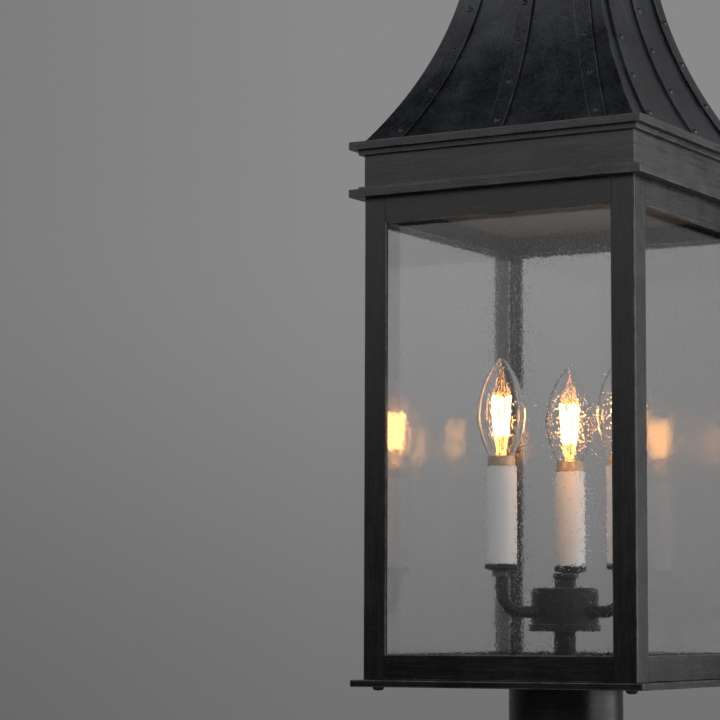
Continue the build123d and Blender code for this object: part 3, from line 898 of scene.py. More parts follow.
@dataclass
class PostMount:
    """Base plate with the fitter that slips over the post, and the fitter's clamp screws."""

    finishes: Finishes
    rim: float = 0.7 * MM
    corner: float = 1.4 * MM
    lip: float = 0.9 * MM
    weld: float = 1.3 * MM
    seam: float = 0.02 * MM
    head_t: float = 4.5 * MM
    head_edge: float = 0.3 * MM
    head_rim: float = 0.4 * MM
    thread_pitch: float = 1.0 * MM
    thread_depth: float = 0.3 * MM

    def build(self) -> None:
        """Build the plate, the fitter and the screws."""
        self.plate()
        self.fitter()
        for number in (1, 2, 3):
            self.clamp_screw(number)

    def plate(self) -> None:
        """Square plate with rounded rims."""
        low, high = span("base_plate")
        outline = rounded_outline(rectangle(low[0], high[0], low[1], high[1]), self.corner, 4)
        surface = prism(outline, low[2], high[2], self.rim)
        place(surface, "plate", Body.BASE.value, self.finishes.level, ("base_plate",))

    def fitter(self) -> None:
        """Tube whose lower lip is half an ellipse, with a weld bead under the plate."""
        low, high = span("post_fitter")
        outer = high[0]
        inner = frame["record"]["mounts"][0]["dims"]["r_mm"] * MM
        half_wall = (outer - inner) / 2
        lip = arc((0.0, 0.0), 1.0, 180, 360, 8) * (half_wall, self.lip)
        profile = np.vstack([
            lip + (inner + half_wall, low[2] + self.lip),
            [[outer, high[2] - 2 * self.weld]],
            arc((outer, high[2] - self.weld), self.weld, 0, 90, 5),
            [[inner, high[2] - self.seam]],
        ])
        surface = revolve(profile, 128, closed=True)
        place(surface, "fitter", Body.BASE.value, self.finishes.turned, ("post_fitter",))

    def clamp_screw(self, number: int) -> None:
        """Hexagon-headed screw: a chamfered head on a threaded shank, measured on the CAD screw."""
        node = f"set_screw_{number}"
        points = column(frame["nodes"][node].data.vertices, "co", 3)
        out = points.mean(0) * (1, 1, 0)
        out /= np.linalg.norm(out)
        reach = points @ out
        level = (points[:, 2].min() + points[:, 2].max()) / 2
        away = np.linalg.norm(points - np.outer(reach, out) - level * UP, axis=1)
        head_from = reach.max() - self.head_t
        shank_r, head_r = away[reach < head_from - MM].max(), away.max()
        along = np.linspace(reach.min(), head_from, 120)
        rows = threaded(shank_r, along, self.thread_pitch, self.thread_depth, full_turn(24))
        hexagon = arc((0.0, 0.0), head_r, 0, 300, 5)
        head = prism(rounded_outline(hexagon, self.head_edge, 2), head_from, reach.max(), self.head_rim)
        surface = joined([Surface.grid(rows).capped(len(rows)), head])
        surface = surface.mapped(level * UP, np.cross(out, UP), UP, out)
        place(surface, f"clamp_screw_{number}", node, self.finishes.dark_steel, (node,), 30.0)


# ---------------------------------------------------------------------------------- candles


@dataclass
class CandleCluster:
    """Stem, hub, three curved arms, cups and candle sleeves."""

    finishes: Finishes
    rim: float = 0.5 * MM
    bore: float = 5.2 * MM
    shoulder: float = 3.4 * MM
    hub_inside: float = 21.7 * MM
    hub_top_t: float = 2.4 * MM
    hub_foot_edge: float = 0.3 * MM
    stud_r: float = 4.9 * MM
    knob_hole: float = 0.6 * MM
    knob_waist: float = 0.8 * MM
    knob_flare: tuple[float, float] = (5.6 * MM, 7.4 * MM)
    core_r: float = 1.4 * MM
    core_sunk: float = 0.3 * MM
    bend: float = 15.0 * MM
    arm_r: float = 4.2 * MM
    ferrule: float = 0.9 * MM
    cup_t: float = 4.0 * MM
    cup_edge: float = 0.3 * MM
    cup_foot_edge: tuple[float, float] = (1.1 * MM, 1.2 * MM)
    collar_rs: tuple[float, float, float, float] = (2.6 * MM, 6.2 * MM, 6.6 * MM, 8.2 * MM)
    sleeve_wall: float = 1.2 * MM
    sleeve_edge: float = 0.35 * MM

    def build(self) -> None:
        """Build the hub and the three candles."""
        for node, name in (("stem", "stem_tube"), ("hub_cover", "hub_flange")):
            low, high = span(node)
            self.turned(rectangle(self.bore, high[0], low[2], high[2]), name, node)
        self.hub()
        self.knob()
        for number in (1, 2, 3):
            self.arm(number)
            self.cup(number)
            self.sleeve(number)
            dress(f"socket_{number}", self.finishes.socket)
        dress("nipple", self.finishes.steel)

    def turned(self, outline: Array, name: str, node: str) -> None:
        """Piece turned about the lantern's axis, from an outline (radius, level) with eased corners."""
        surface = revolve(rounded_outline(outline, self.rim, 3), 72, closed=True)
        place(surface, name, Body.BASE.value, self.finishes.turned, (node,))

    def hub(self) -> None:
        """Cup with a soft shoulder, open below where its flange closes it."""
        low, high = span("hub_body")
        radius, top, edge = high[0], high[2], self.hub_foot_edge
        profile = np.vstack([
            [[self.hub_inside, low[2]], [radius - edge, low[2]], [radius, low[2] + edge]],
            arc((radius - self.shoulder, top - self.shoulder), self.shoulder, 0, 90, 10),
            [[self.bore, top], [self.bore, top - self.hub_top_t], [self.hub_inside, top - self.hub_top_t]],
        ])
        surface = revolve(profile, 96, closed=True)
        place(surface, "hub_cup", Body.BASE.value, self.finishes.turned, ("hub_body",))

    def knob(self) -> None:
        """Cap with a flared top on a stud, and a plug in its middle."""
        low, high = span("hub_cap")
        foot, radius, top = span("hub_body")[1][2], high[0], high[2]
        waist = radius - self.knob_waist
        flare_low, flare_high = (foot + rise for rise in self.knob_flare)
        self.turned(np.array([
            [self.knob_hole, low[2]], [self.stud_r, low[2]], [self.stud_r, foot], [waist, foot],
            [waist, flare_low], [radius, flare_high], [radius, top], [self.knob_hole, top],
        ]), "hub_knob", "hub_cap")
        core_r, core_top = self.core_r, top - self.core_sunk
        plug = np.array([[0.0, core_top], [core_r, core_top], [core_r, low[2]], [0.0, low[2]]])
        place(revolve(plug, 24), "hub_knob_core", Body.BASE.value, self.finishes.turned)

    def arm(self, number: int) -> None:
        """Bent tube: level out of the hub, a quarter bend, and upright into the cup's collar.

        A ferrule, wider than the tube by shares of its own thickness, stands where it leaves the hub.
        """
        node = f"arm_{number}"
        out = axis_of(f"sleeve_{number}")
        reach = np.linalg.norm(out)
        out /= reach
        low, high = span(node)
        level = low[2] + self.arm_r
        run = np.stack([np.linspace(self.hub_inside, reach - self.bend, 8), np.full(8, level)], axis=-1)
        curve = arc((reach - self.bend, level + self.bend), self.bend, -90, 0, 24)
        rise = np.stack([np.full(6, reach), np.linspace(level + self.bend, high[2], 6)], axis=-1)
        flat = np.vstack([run, curve[1:], rise[1:]])
        side = np.cross(out, UP)
        body = tube(flat[:, :1] * out + flat[:, 1:] * UP, np.full(len(flat), self.arm_r), side, 40)
        ring = span("hub_body")[1][0] + np.array([-0.6, 0.0, 0.9, 1.4]) * MM
        ring_r = self.arm_r + np.array([1.0, 1.0, 0.75, 0.05]) * self.ferrule
        ferrule = tube(ring[:, None] * out + level * UP, ring_r, side, 40)
        surface, name = joined([body, ferrule]), f"arm_tube_{number}"
        place(surface, name, Body.BASE.value, self.finishes.turned, (node,), 50.0)

    def cup(self, number: int) -> None:
        """Small turned cup: a collar below and a disc with a chamfered foot."""
        node = f"cup_{number}"
        low, high = span(node)
        radius, disc = (high[0] - low[0]) / 2, high[2] - self.cup_t
        bore, foot_r, waist_r, neck_r = self.collar_rs
        edge_in, edge_up = self.cup_foot_edge
        outline = np.array([
            [bore, low[2]], [foot_r, low[2]], [waist_r, disc - edge_up], [neck_r, disc],
            [radius - edge_in, disc], [radius, disc + edge_up], [radius, high[2]], [bore, high[2]],
        ])
        surface = revolve(rounded_outline(outline, self.cup_edge, 2), 72, closed=True)
        surface = surface.moved(axis_of(node))
        place(surface, f"cup_turned_{number}", Body.BASE.value, self.finishes.turned, (node,))

    def sleeve(self, number: int) -> None:
        """White candle sleeve: a thin tube with eased rims."""
        node = f"sleeve_{number}"
        low, high = span(node)
        radius = (high[0] - low[0]) / 2
        outline = rectangle(radius - self.sleeve_wall, radius, low[2], high[2])
        surface = revolve(rounded_outline(outline, self.sleeve_edge, 3), 96, closed=True)
        surface, name = surface.moved(axis_of(node)), f"candle_sleeve_{number}"
        place(surface, name, Body.BASE.value, self.finishes.sleeve, (node,))


# ---------------------------------------------------------------------------------- bulbs


@dataclass
class Bulb:
    """Torpedo lamp with a screw shell, a blown envelope and glowing filament sticks."""

    finishes: Finishes
    number: int
    wall: float = 0.6 * MM
    widest: float = 28.0 * MM
    tip_r: float = 2.4 * MM
    foot_share: float = 0.51
    taper: float = 1.75
    shell_r: float = 5.9 * MM
    thread_pitch: float = 1.9 * MM
    thread_depth: float = 0.45 * MM
    collar_h: float = 7.2 * MM
    collar_edge: float = 0.5 * MM
    collar_rim: float = 0.55 * MM
    sticks: int = 8
    stick_r: float = 0.85 * MM
    leg_r: float = 0.4 * MM
    wire_r: float = 0.22 * MM
    uneven: float = 0.9 * MM
    first_way: float = 0.35
    stem_ring: float = 2.4 * MM
    foot_ring: float = 4.7 * MM
    top_ring: float = 6.4 * MM
    stick_low: float = 14.2 * MM
    stick_high: float = 42.4 * MM
    body: str = field(init=False)
    axis: Array = field(init=False)
    foot: float = field(init=False)
    top: float = field(init=False)
    radius: float = field(init=False)

    def __post_init__(self) -> None:
        """Read the bulb's body, axis and envelope from the frame."""
        low, high = span(f"bulb_glass_{self.number}")
        self.body = f"bulb_{self.number}"
        self.axis = axis_of(f"bulb_glass_{self.number}")
        self.foot, self.top, self.radius = low[2], high[2], (high[0] - low[0]) / 2

    def build(self) -> None:
        """Build the shell, the envelope and what is inside it."""
        self.shell()
        self.envelope()
        self.filament()

    def put(
        self,
        surface: Surface,
        name: str,
        material: Material,
        slot: Slot,
        replaces: str = "",
        sharp: float = 60.0,
    ) -> None:
        """Place a surface made about the origin on the bulb's axis.

        Args:
            surface: The surface.
            name: Name of the piece, without the bulb's number.
            material: Its finish.
            slot: Slot that the finish belongs to; not used.
            replaces: CAD node that it stands for, without the number.
            sharp: Edges that turn by more than this many degrees are shaded sharp.
        """
        nodes = (f"{replaces}_{self.number}",) if replaces else ()
        place(surface.moved(self.axis), f"{name}_{self.number}", self.body, material, nodes, sharp)

    def shell(self) -> None:
        """Screw shell with a rolled thread, a solder tip, and the collar that holds the envelope."""
        low, high = span(f"bulb_base_{self.number}")
        radius, collar, foot, top = self.shell_r, (high[0] - low[0]) / 2, low[2], high[2]
        turns = full_turn(72)
        levels = np.linspace(foot + 3.2 * MM, top - 11.5 * MM, 60)
        tip = np.array([[0.01, 0.0], [2.0, 0.3], [2.6, 1.2], [5.2, 2.8]]) * MM + (0, foot)
        under, edge, rim = top - self.collar_h, self.collar_edge, self.collar_rim
        crown = np.vstack([
            [[radius, top - 11.0 * MM], [radius, under - 3.0 * MM], [collar - edge, under]],
            arc((collar - edge, under + edge), edge, -90, 0, 3),
            [[collar, top - 1.3 * MM], [collar - 0.25 * MM, top - 1.0 * MM]],
            arc((collar - rim, top - rim), rim, 0, 90, 4),
            [[collar - 1.4 * MM, top], [0.01 * MM, top - 0.2 * MM]],
        ])
        thread = threaded(radius, levels, self.thread_pitch, self.thread_depth, turns)
        rows = np.concatenate([rows_round(tip, turns), thread, rows_round(crown, turns)])
        surface = Surface.grid(rows).capped(len(rows))
        self.put(surface, "bulb_shell", self.finishes.collar, Slot.SHELL, "bulb_base", 45.0)

    def outline(self, shrink: float, steps: int = 24) -> Array:
        """Half outline of the envelope, drawn in by a wall.

        Below the widest level the radius is widest * (1 - (1 - foot share) * s ** taper), where s is
        the share of the fall to the foot. Above it the line is an arc that is upright at the widest
        level, and a small round arc of the tip's radius closes it.

        Args:
            shrink: How far the outline is drawn in.
            steps: Number of steps below, half of those above, and those of the tip.

        Returns:
            Points (radius, level) from the foot to the tip.
        """
        wide, tip, level = self.radius, self.tip_r, self.foot + self.widest
        fall = np.linspace(1, 0, steps, endpoint=False)
        swell = wide * (1 - (1 - self.foot_share) * fall**self.taper) - shrink
        below = np.stack([swell, self.foot + self.widest * (1 - fall)], axis=-1)
        rise = self.top - level
        bow = ((rise - tip) ** 2 + wide**2 - tip**2) / (2 * (wide - tip))
        lean = math.asin((rise - tip) / (bow - tip))
        side = np.linspace(0, lean, steps * 2, endpoint=False)
        bow_in, tip_in = bow - shrink, tip - shrink
        above = np.stack([wide - bow + bow_in * np.cos(side), level + bow_in * np.sin(side)], axis=-1)
        turn = np.linspace(lean, QUARTER, steps)
        crown = np.stack([tip_in * np.cos(turn), self.top - tip + tip_in * np.sin(turn)], axis=-1)
        crown[-1, 0] = 0.0
        return np.vstack([below, above, crown])

    def envelope(self) -> None:
        """Blown envelope: the outer skin up to the tip and the inner one back down, joined at the foot."""
        profile = np.vstack([self.outline(0.0), self.outline(self.wall)[::-1]])
        surface = revolve(profile, 96, closed=True)
        self.put(surface, "bulb_envelope", self.finishes.envelope, Slot.ENVELOPE, "bulb_glass", 80.0)

    def filament(self) -> None:
        """Glowing sticks that lean out to the top ring, legs with a faint painted glow, support wires and
        the glass stem.

        The sticks' ends lie unevenly, as uneven * cos(5 a + number) below and sin(3 a + number) above.
        """
        ways = full_turn(self.sticks) + self.first_way
        lows = self.foot + self.stick_low + self.uneven * np.cos(5 * ways + self.number)
        highs = self.foot + self.stick_high + self.uneven * np.sin(3 * ways + self.number)
        share = np.array([0.0, 0.012, 0.03, 0.5, 0.97, 0.988, 1.0])[:, None]
        swell = self.stick_r * np.array([0.25, 0.75, 1.0, 1.0, 1.0, 0.75, 0.25])
        top_r, foot_r, stem_r = self.top_ring, self.foot_ring, self.stem_ring
        rods, legs, wires = [], [], []
        for way, low, high in zip(ways, lows, highs):
            out = np.array([math.cos(way), math.sin(way), 0.0])
            side = np.cross(UP, out)
            start, end = out * foot_r + low * UP, out * top_r + high * UP
            rods.append(tube(start + (end - start) * share, swell, side, 12))
            hook = np.array([
                [top_r, high], [top_r * 0.94, high + 1.8 * MM],
                [top_r * 0.55, high + 3.4 * MM], [0.0, high + 3.6 * MM],
            ])
            root = np.array([
                [foot_r, low], [foot_r * 0.93, low - 2.4 * MM],
                [stem_r * 1.25, self.foot + 3.0 * MM], [stem_r, self.foot + 0.5 * MM],
            ])
            for bend, radius, pile in ((hook, self.wire_r, wires), (root, self.leg_r, legs)):
                path = bend[:, :1] * out + bend[:, 1:] * UP
                pile.append(tube(path, np.full(len(path), radius), side, 8))
        self.put(joined(rods), "filament_sticks", self.finishes.filament, Slot.FILAMENT, "bulb_filament")
        # The legs' faint emission is a painted glow round the hot sticks.
        self.put(joined(legs), "filament_legs_painted_glow", self.finishes.legs, Slot.FILAMENT)
        self.put(joined(wires), "filament_wires", self.finishes.wire, Slot.FILAMENT)
        foot, neck = self.foot, lows[-1]
        stem = np.array([
            [0.0, foot + 0.3 * MM], [5.2 * MM, foot + 0.3 * MM], [1.7 * MM, foot + 4.0 * MM],
            [1.1 * MM, neck + 4.0 * MM], [0.0, neck + 4.6 * MM],
        ])
        self.put(revolve(stem, 32), "bulb_stem", self.finishes.envelope, Slot.ENVELOPE)


# ---------------------------------------------------------------------------------- cage


@dataclass
class Cage:
    """Corner posts, rails, seeded panes, clips and the ceiling tray."""

    finishes: Finishes
    edge: float = 0.9 * MM
    rail_edge: float = 0.7 * MM
    leg: float = 18.1 * MM
    depth: float = 9.6 * MM
    leaf: float = 3.0 * MM
    lip: float = 2.0 * MM
    end_rim: float = 0.2 * MM
    let_in: float = 1.2 * MM
    pane_edge: float = 0.25 * MM
    tray_wall: float = 1.2 * MM
    tray_foot: float = 0.8 * MM
    tray_middle: float = 0.6 * MM
    tray_corner: float = 0.5 * MM

    def build(self) -> None:
        """Build the cage."""
        for end in ("front", "back"):
            for side in ("left", "right"):
                self.post(end, side)
        for side in ("front", "right", "back", "left"):
            self.rail(f"top_rail_{side}")
            self.rail(f"bottom_rail_{side}")
            self.pane(f"pane_{side}")
        self.tray()
        dress("glass_clips", self.finishes.steel)

    def section(self, reach: float, sx: int, sy: int, thick: float) -> Array:
        """Anticlockwise outline of an L with its outer corner at (sx, sy) times the reach."""
        w, t = self.leg, thick
        flat = np.array([[0, 0], [w, 0], [w, t], [t, t], [t, w], [0, w]])
        corners = (reach - flat) * (sx, sy)
        return rounded_outline(corners if sx * sy > 0 else corners[::-1], self.edge, 4)

    def post(self, end: str, side: str) -> None:
        """Corner post: an L of thin leaves beside the panes, and of full depth at its foot and head.

        The outline changes from the deep L to the thin one at the step in the bottom rail's top, and
        back at the step in the top rail's underside.
        """
        node = f"corner_post_{end}_{side}"
        low, high = span(node)
        sx, sy = (1 if side == "right" else -1), (1 if end == "back" else -1)
        reach = max(abs(low[0]), abs(high[0]))
        foot, head = span("bottom_rail_front")[1][2] - self.lip, span("top_rail_front")[0][2] + self.lip
        deep, thin = (self.section(reach, sx, sy, thick) for thick in (self.depth, self.leaf))
        rim = self.end_rim
        end_ring = inset(deep, np.array([rim]))[0]
        rings = np.stack([end_ring, deep, deep, thin, thin, deep, deep, end_ring])
        levels = np.array([low[2], low[2] + rim, foot, foot, head, head, high[2] - rim, high[2]])
        heights = np.broadcast_to(levels[:, None, None], rings.shape[:2] + (1,))
        surface = Surface.grid(np.concatenate([rings, heights], axis=-1)).capped(len(levels))
        place(surface, f"post_{end}_{side}", Body.CAGE.value, self.finishes.upright, (node,))

    def rail(self, node: str) -> None:
        """Rail between two posts, let into them flush, with a thin lip in front of the pane."""
        low, high = span(node)
        along = 0 if high[0] - low[0] > high[1] - low[1] else 1
        across = 1 - along
        inward = 1 if low[across] < 0 else -1
        outer, inner = (low[across], high[across])[::inward]
        rise = 1 if node.startswith("top") else -1
        near, far = (low[2], high[2])[::rise]
        back, step = outer + inward * self.leaf, near + rise * self.lip
        corners = np.array([
            [outer, far], [outer, near], [back, near], [back, step], [inner, step], [inner, far],
        ])
        outline = rounded_outline(corners, self.rail_edge, 4)
        points = np.zeros((2, len(outline), 3))
        points[..., along] = np.array([[low[along] - self.let_in], [high[along] + self.let_in]])
        points[..., across] = outline[:, 0]
        points[..., 2] = outline[:, 1]
        surface, name = Surface.grid(points).capped(2), node.replace("rail", "bar")
        place(surface, name, Body.CAGE.value, self.finishes.level, (node,))

    def pane(self, node: str) -> None:
        """Pane of seeded glass with ground edges."""
        surface = bar(*span(node), self.pane_edge)
        place(surface, f"seeded_{node}", Body.CAGE.value, self.finishes.pane, (node,), 50.0)

    def tray(self) -> None:
        """Shallow pressed tray with an upturned rim."""
        low, high = span("ceiling_tray")
        outer, foot, middle, edge = high[0], low[2], self.tray_middle, self.tray_foot
        inner, floor = outer - self.tray_wall, foot + self.tray_wall
        profile = np.array([
            [middle, foot], [outer - edge, foot], [outer, foot + edge], [outer, high[2]],
            [inner, high[2]], [inner, floor], [middle, floor],
        ])
        surface = square_sweep(profile, self.tray_corner, closed=False)
        place(surface, "tray", Body.CAGE.value, self.finishes.tray, ("ceiling_tray",))


# ---------------------------------------------------------------------------------- entablature


@dataclass
class Entablature:
    """Two stepped mouldings with the frieze between them."""

    finishes: Finishes
    edge: float = 0.6 * MM
    frieze_edge: float = 0.15 * MM
    corner: float = 0.7 * MM
    step: float = 5.0 * MM
    plate: float = 5.8 * MM
    ledge: float = 22.3 * MM
    wall: float = 2.0 * MM

    def build(self) -> None:
        """Build the mouldings and the frieze."""
        low, high = span("lower_moulding")
        self.moulding("lower_moulding", low[2], low[2] + self.plate, high[2], high[0])
        low, high = span("upper_moulding")
        self.moulding("upper_moulding", high[2], high[2] - self.plate, low[2], high[0])
        low, high = span("frieze")
        corners = rectangle(high[0] - self.wall, high[0], low[2], high[2])
        surface = square_sweep(rounded_outline(corners, self.frieze_edge, 2), self.corner, closed=True)
        # The frieze coat is lighter as painted light from above.
        place(surface, "frieze_band", Body.CAGE.value, self.finishes.frieze, ("frieze",))

    def moulding(self, node: str, far: float, turn: float, near: float, reach: float) -> None:
        """Stepped ring: a plate from the level `far` to `turn`, and a step on to `near`."""
        inner, stepped = reach - self.ledge, reach - self.step
        corners = np.array([
            [inner, far], [reach, far], [reach, turn], [stepped, turn], [stepped, near], [inner, near],
        ])
        surface = square_sweep(rounded_outline(corners, self.edge, 3), self.corner, closed=True)
        # The mouldings share the lighter frieze coat, painted light from above.
        place(surface, f"{node}_ring", Body.CAGE.value, self.finishes.frieze, (node,))


# ---------------------------------------------------------------------------------- roof


@dataclass
class Roof:
    """Concave hip roof with raised, riveted battens."""

    finishes: Finishes
    hollow_r: float = 308.0 * MM
    neck: float = 50.0 * MM
    sheet: float = 1.8 * MM
    hip: float = 0.6 * MM
    batten_w: float = 12.8 * MM
    batten_rise: float = 2.2 * MM
    batten_sunk: float = 0.4 * MM
    batten_edge: float = 0.5 * MM
    batten_end: float = 0.05 * MM
    places: tuple[float, ...] = (-0.755, 0.0, 0.755)
    rivet_r: float = 2.3 * MM
    rivet_h: float = 1.5 * MM
    rivet_sunk: float = 0.5 * MM
    rivet_first: float = 7.0 * MM
    rivet_last: float = 14.8 * MM
    rivet_rows: int = 5
    low: float = field(init=False)
    high: float = field(init=False)
    line: Hollow = field(init=False)

    def __post_init__(self) -> None:
        """Read the roof's ends from the frame."""
        low, high = span("roof_shell")
        self.low, self.high = low[2], high[2]
        self.line = Hollow((high[0], self.low), (self.neck, self.high), self.hollow_r)

    def build(self) -> None:
        """Build the sheets, the battens and the rivets."""
        self.sheets()
        self.battens()
        self.rivets()

    def put(self, surface: Surface, name: str, node: str, sharp: float) -> None:
        """Place a piece of the roof that stands for a CAD node."""
        place(surface, name, Body.CAGE.value, self.finishes.roof, (node,), sharp)

    def sheets(self) -> None:
        """Four sheets that meet at crisp folded hips: the arc carried round the square."""
        levels = np.linspace(self.low, self.high, 60)
        outer = np.stack([self.line.half(levels), levels], axis=-1)
        profile = np.vstack([outer, outer[::-1] - (self.sheet, 0)])
        surface = square_sweep(profile, self.hip, closed=True, steps=4)
        self.put(surface, "roof_sheets", "roof_shell", 30.0)

    def battens(self) -> None:
        """Raised battens: a low section with eased edges, carried up the roof's line.

        At the level z the section point (across, out) lies at
        (share * half(z) + across, -(half(z) + out), z) on the front face.
        """
        corners = rectangle(-self.batten_w / 2, self.batten_w / 2, -self.batten_sunk, self.batten_rise)
        section = rounded_outline(corners, self.batten_edge, 4)
        levels = np.linspace(self.low + self.batten_end, self.high - self.batten_end, 60)
        half = self.line.half(levels)[:, None]
        strips = []
        for share in self.places:
            x = share * half + section[:, 0]
            y = -(half + section[:, 1])
            z = np.broadcast_to(levels[:, None], x.shape)
            strip = Surface.grid(np.stack([x, y, z], axis=-1)).capped(len(levels))
            strips += [strip.turned(side * QUARTER) for side in range(4)]
        self.put(joined(strips), "battens", "roof_battens", 30.0)

    def rivets(self) -> None:
        """Domed rivets along the middle of every batten, square to its slope.

        A dome's profile is a flat skirt and the arc r = R sin a, z = R cos a - (R - h).
        """
        bowl = (self.rivet_r**2 + self.rivet_h**2) / (2 * self.rivet_h)
        turns = np.linspace(math.asin(self.rivet_r / bowl), 0, 7)
        dome = np.stack([bowl * np.sin(turns), bowl * np.cos(turns) - bowl + self.rivet_h], axis=-1)
        head = revolve(np.vstack([[[self.rivet_r, -self.rivet_sunk]], dome]), 20)
        heads = []
        for level in np.linspace(self.low + self.rivet_first, self.high - self.rivet_last, self.rivet_rows):
            half = float(self.line.half(level))
            normal = np.array([0.0, -1.0, -self.line.slope(level)])
            normal /= np.linalg.norm(normal)
            across = np.array([1.0, 0.0, 0.0])
            for share in self.places:
                spot = np.array([share * half, -(half + self.batten_rise), level])
                rivet = head.mapped(spot, across, np.cross(normal, across), normal)
                heads += [rivet.turned(side * QUARTER) for side in range(4)]
        self.put(joined(heads), "rivets", "roof_rivets", 50.0)


@dataclass
class Crown:
    """Stepped cap with a small hollow pyramid, and the turned finial."""

    finishes: Finishes
    edge: float = 0.6 * MM
    corner: float = 0.6 * MM
    hollow_r: float = 70.0 * MM
    neck: float = 50.0 * MM
    top: float = 9.0 * MM
    inside: float = 46.0 * MM
    step_in: float = 4.0 * MM
    step_h: float = 2.5 * MM
    plate_h: float = 7.5 * MM
    finial_neck: tuple[float, float] = (4.2 * MM, 8.0 * MM)
    finial_tip_r: float = 2.2 * MM

    def build(self) -> None:
        """Build the cap and the finial."""
        self.cap()
        self.finial()

    def cap(self) -> None:
        """Step, overhanging plate and hollow pyramid, carried round the square."""
        low, high = span("roof_cap")
        reach, e = high[0], self.edge
        inner, step, plate = reach - self.step_in, low[2] + self.step_h, low[2] + self.plate_h
        levels = np.linspace(plate, high[2], 24)
        line = Hollow((self.neck, plate), (self.top, high[2]), self.hollow_r)
        profile = np.vstack([
            [[self.inside, low[2]], [inner - e / 2, low[2]], [inner, low[2] + e / 2], [inner, step]],
            arc((reach - e, step + e), e, -90, 0, 3),
            arc((reach - e, plate - e), e, 0, 90, 3),
            np.stack([line.half(levels), levels], axis=-1),
        ])
        surface = square_sweep(profile, self.corner, closed=False)
        place(surface, "crown", Body.CAGE.value, self.finishes.roof, ("roof_cap",), 30.0)

    def finial(self) -> None:
        """Turned finial: foot, hollow neck, ball and button."""
        low, high = span("finial")
        ball, foot, tip_r = (high[0] - low[0]) / 2, low[2], self.finial_tip_r
        neck_r, neck_h = self.finial_neck
        sunk = math.sqrt(ball**2 - neck_r**2)
        start, end = -math.degrees(math.asin(sunk / ball)), math.degrees(math.acos(tip_r / ball))
        turned_foot = np.array([
            [0.0, 0.0], [7.6, 0.0], [8.0, 0.4], [8.0, 2.6], [7.6, 3.0], [6.0, 3.6], [5.0, 4.6], [4.4, 6.0],
        ]) * MM
        profile = np.vstack([
            turned_foot + (0, foot),
            arc((0.0, foot + neck_h + sunk), ball, start, end, 28),
            arc((0.0, high[2] - tip_r), tip_r, 0, 90, 8),
        ])
        surface, name = revolve(profile, 64), "finial_turned"
        place(surface, name, Body.CAGE.value, self.finishes.turned, ("finial",), 40.0)


# ---------------------------------------------------------------------------------- fasteners


@dataclass
class CageScrews:
    """Four pan-head screws up through the plate into the posts."""

    finishes: Finishes
    head_r: float = 4.2 * MM
    head_h: float = 2.6 * MM
    dome_power: float = 4.0
    shank_r: float = 2.0 * MM
    pitch: float = 0.7 * MM
    thread_depth: float = 0.25 * MM
    cross_w: float = 0.75 * MM
    cross_reach: float = 2.4 * MM
    cross_depth: float = 1.3 * MM

    def build(self) -> None:
        """Build the screws, with a cross sunk in each head.

        The head's face drops below its seat by h * sqrt(1 - (r / R) ** power), less the cross depth
        where |x| or |y| is under half the cross's width and r is under its reach.
        """
        low, high = span("cage_screws")
        spot, seat = high[0] - self.head_r, low[2] + self.head_h
        rings, turns = np.linspace(0, 1, 26)[:, None], full_turn(96)
        x, y = self.head_r * rings * np.cos(turns), self.head_r * rings * np.sin(turns)
        cross = (np.minimum(np.abs(x), np.abs(y)) < self.cross_w / 2) & (np.hypot(x, y) < self.cross_reach)
        face = seat - self.head_h * (1 - rings**self.dome_power) ** 0.5 + self.cross_depth * cross
        levels = np.linspace(seat, high[2], 70)
        shank = threaded(self.shank_r, levels, self.pitch, self.thread_depth, turns)
        single = Surface.grid(np.concatenate([np.stack([x, y, face], axis=-1), shank]))
        single.caps.append(np.arange(len(turns)) + len(single.points) - len(turns))
        spots = [(sx * spot, sy * spot, 0.0) for sx in (-1, 1) for sy in (-1, 1)]
        surface = joined([single.moved(offset) for offset in spots])
        body = Body.CAGE_SCREWS.value
        place(surface, "pan_screws", body, self.finishes.dark_steel, ("cage_screws",))


# ---------------------------------------------------------------------------------- studio


@dataclass
class Softbox:
    """A soft lamp that looks level at the lantern's axis, and may fade out towards its lower edge.

    Azimuth 0 is in front of the lantern and 90 to its right. The glow is the brightness of its face.
    The fade is the share of its height over which it fades, along a power curve.
    """

    name: str
    azimuth: float
    distance: float
    width: float
    low: float
    high: float
    glow: float
    fade: float = 0.0
    curve: float = 1.0

    def build(self) -> None:
        """Build the lamp."""
        turn = math.radians(self.azimuth)
        away = Vector((math.sin(turn), -math.cos(turn), 0.0))
        lamp = bpy.data.lights.new(self.name, "AREA")
        lamp.shape = "RECTANGLE"
        lamp.size, lamp.size_y = self.width, self.high - self.low
        lamp.energy = self.glow * math.pi * lamp.size * lamp.size_y
        lamp.use_nodes = True
        graph = Graph(lamp.node_tree)
        glow = 1.0
        if self.fade:
            face = graph.add("ShaderNodeTexCoord").outputs["UV"]
            height = graph.add("ShaderNodeSeparateXYZ", {0: face}).outputs[1]
            glow = graph.math("POWER", graph.spread(height, 0.0, self.fade), self.curve)
        graph.finish(graph.add("ShaderNodeEmission", {"Strength": glow}), "Light")
        holder = bpy.data.objects.new(self.name, lamp)
        holder.location = away * self.distance + Vector((0.0, 0.0, (self.low + self.high) / 2))
        holder.rotation_euler = away.to_track_quat("Z", "Y").to_euler()
        holder.visible_camera = False
        holder.visible_transmission = False
        bpy.context.scene.collection.objects.link(holder)


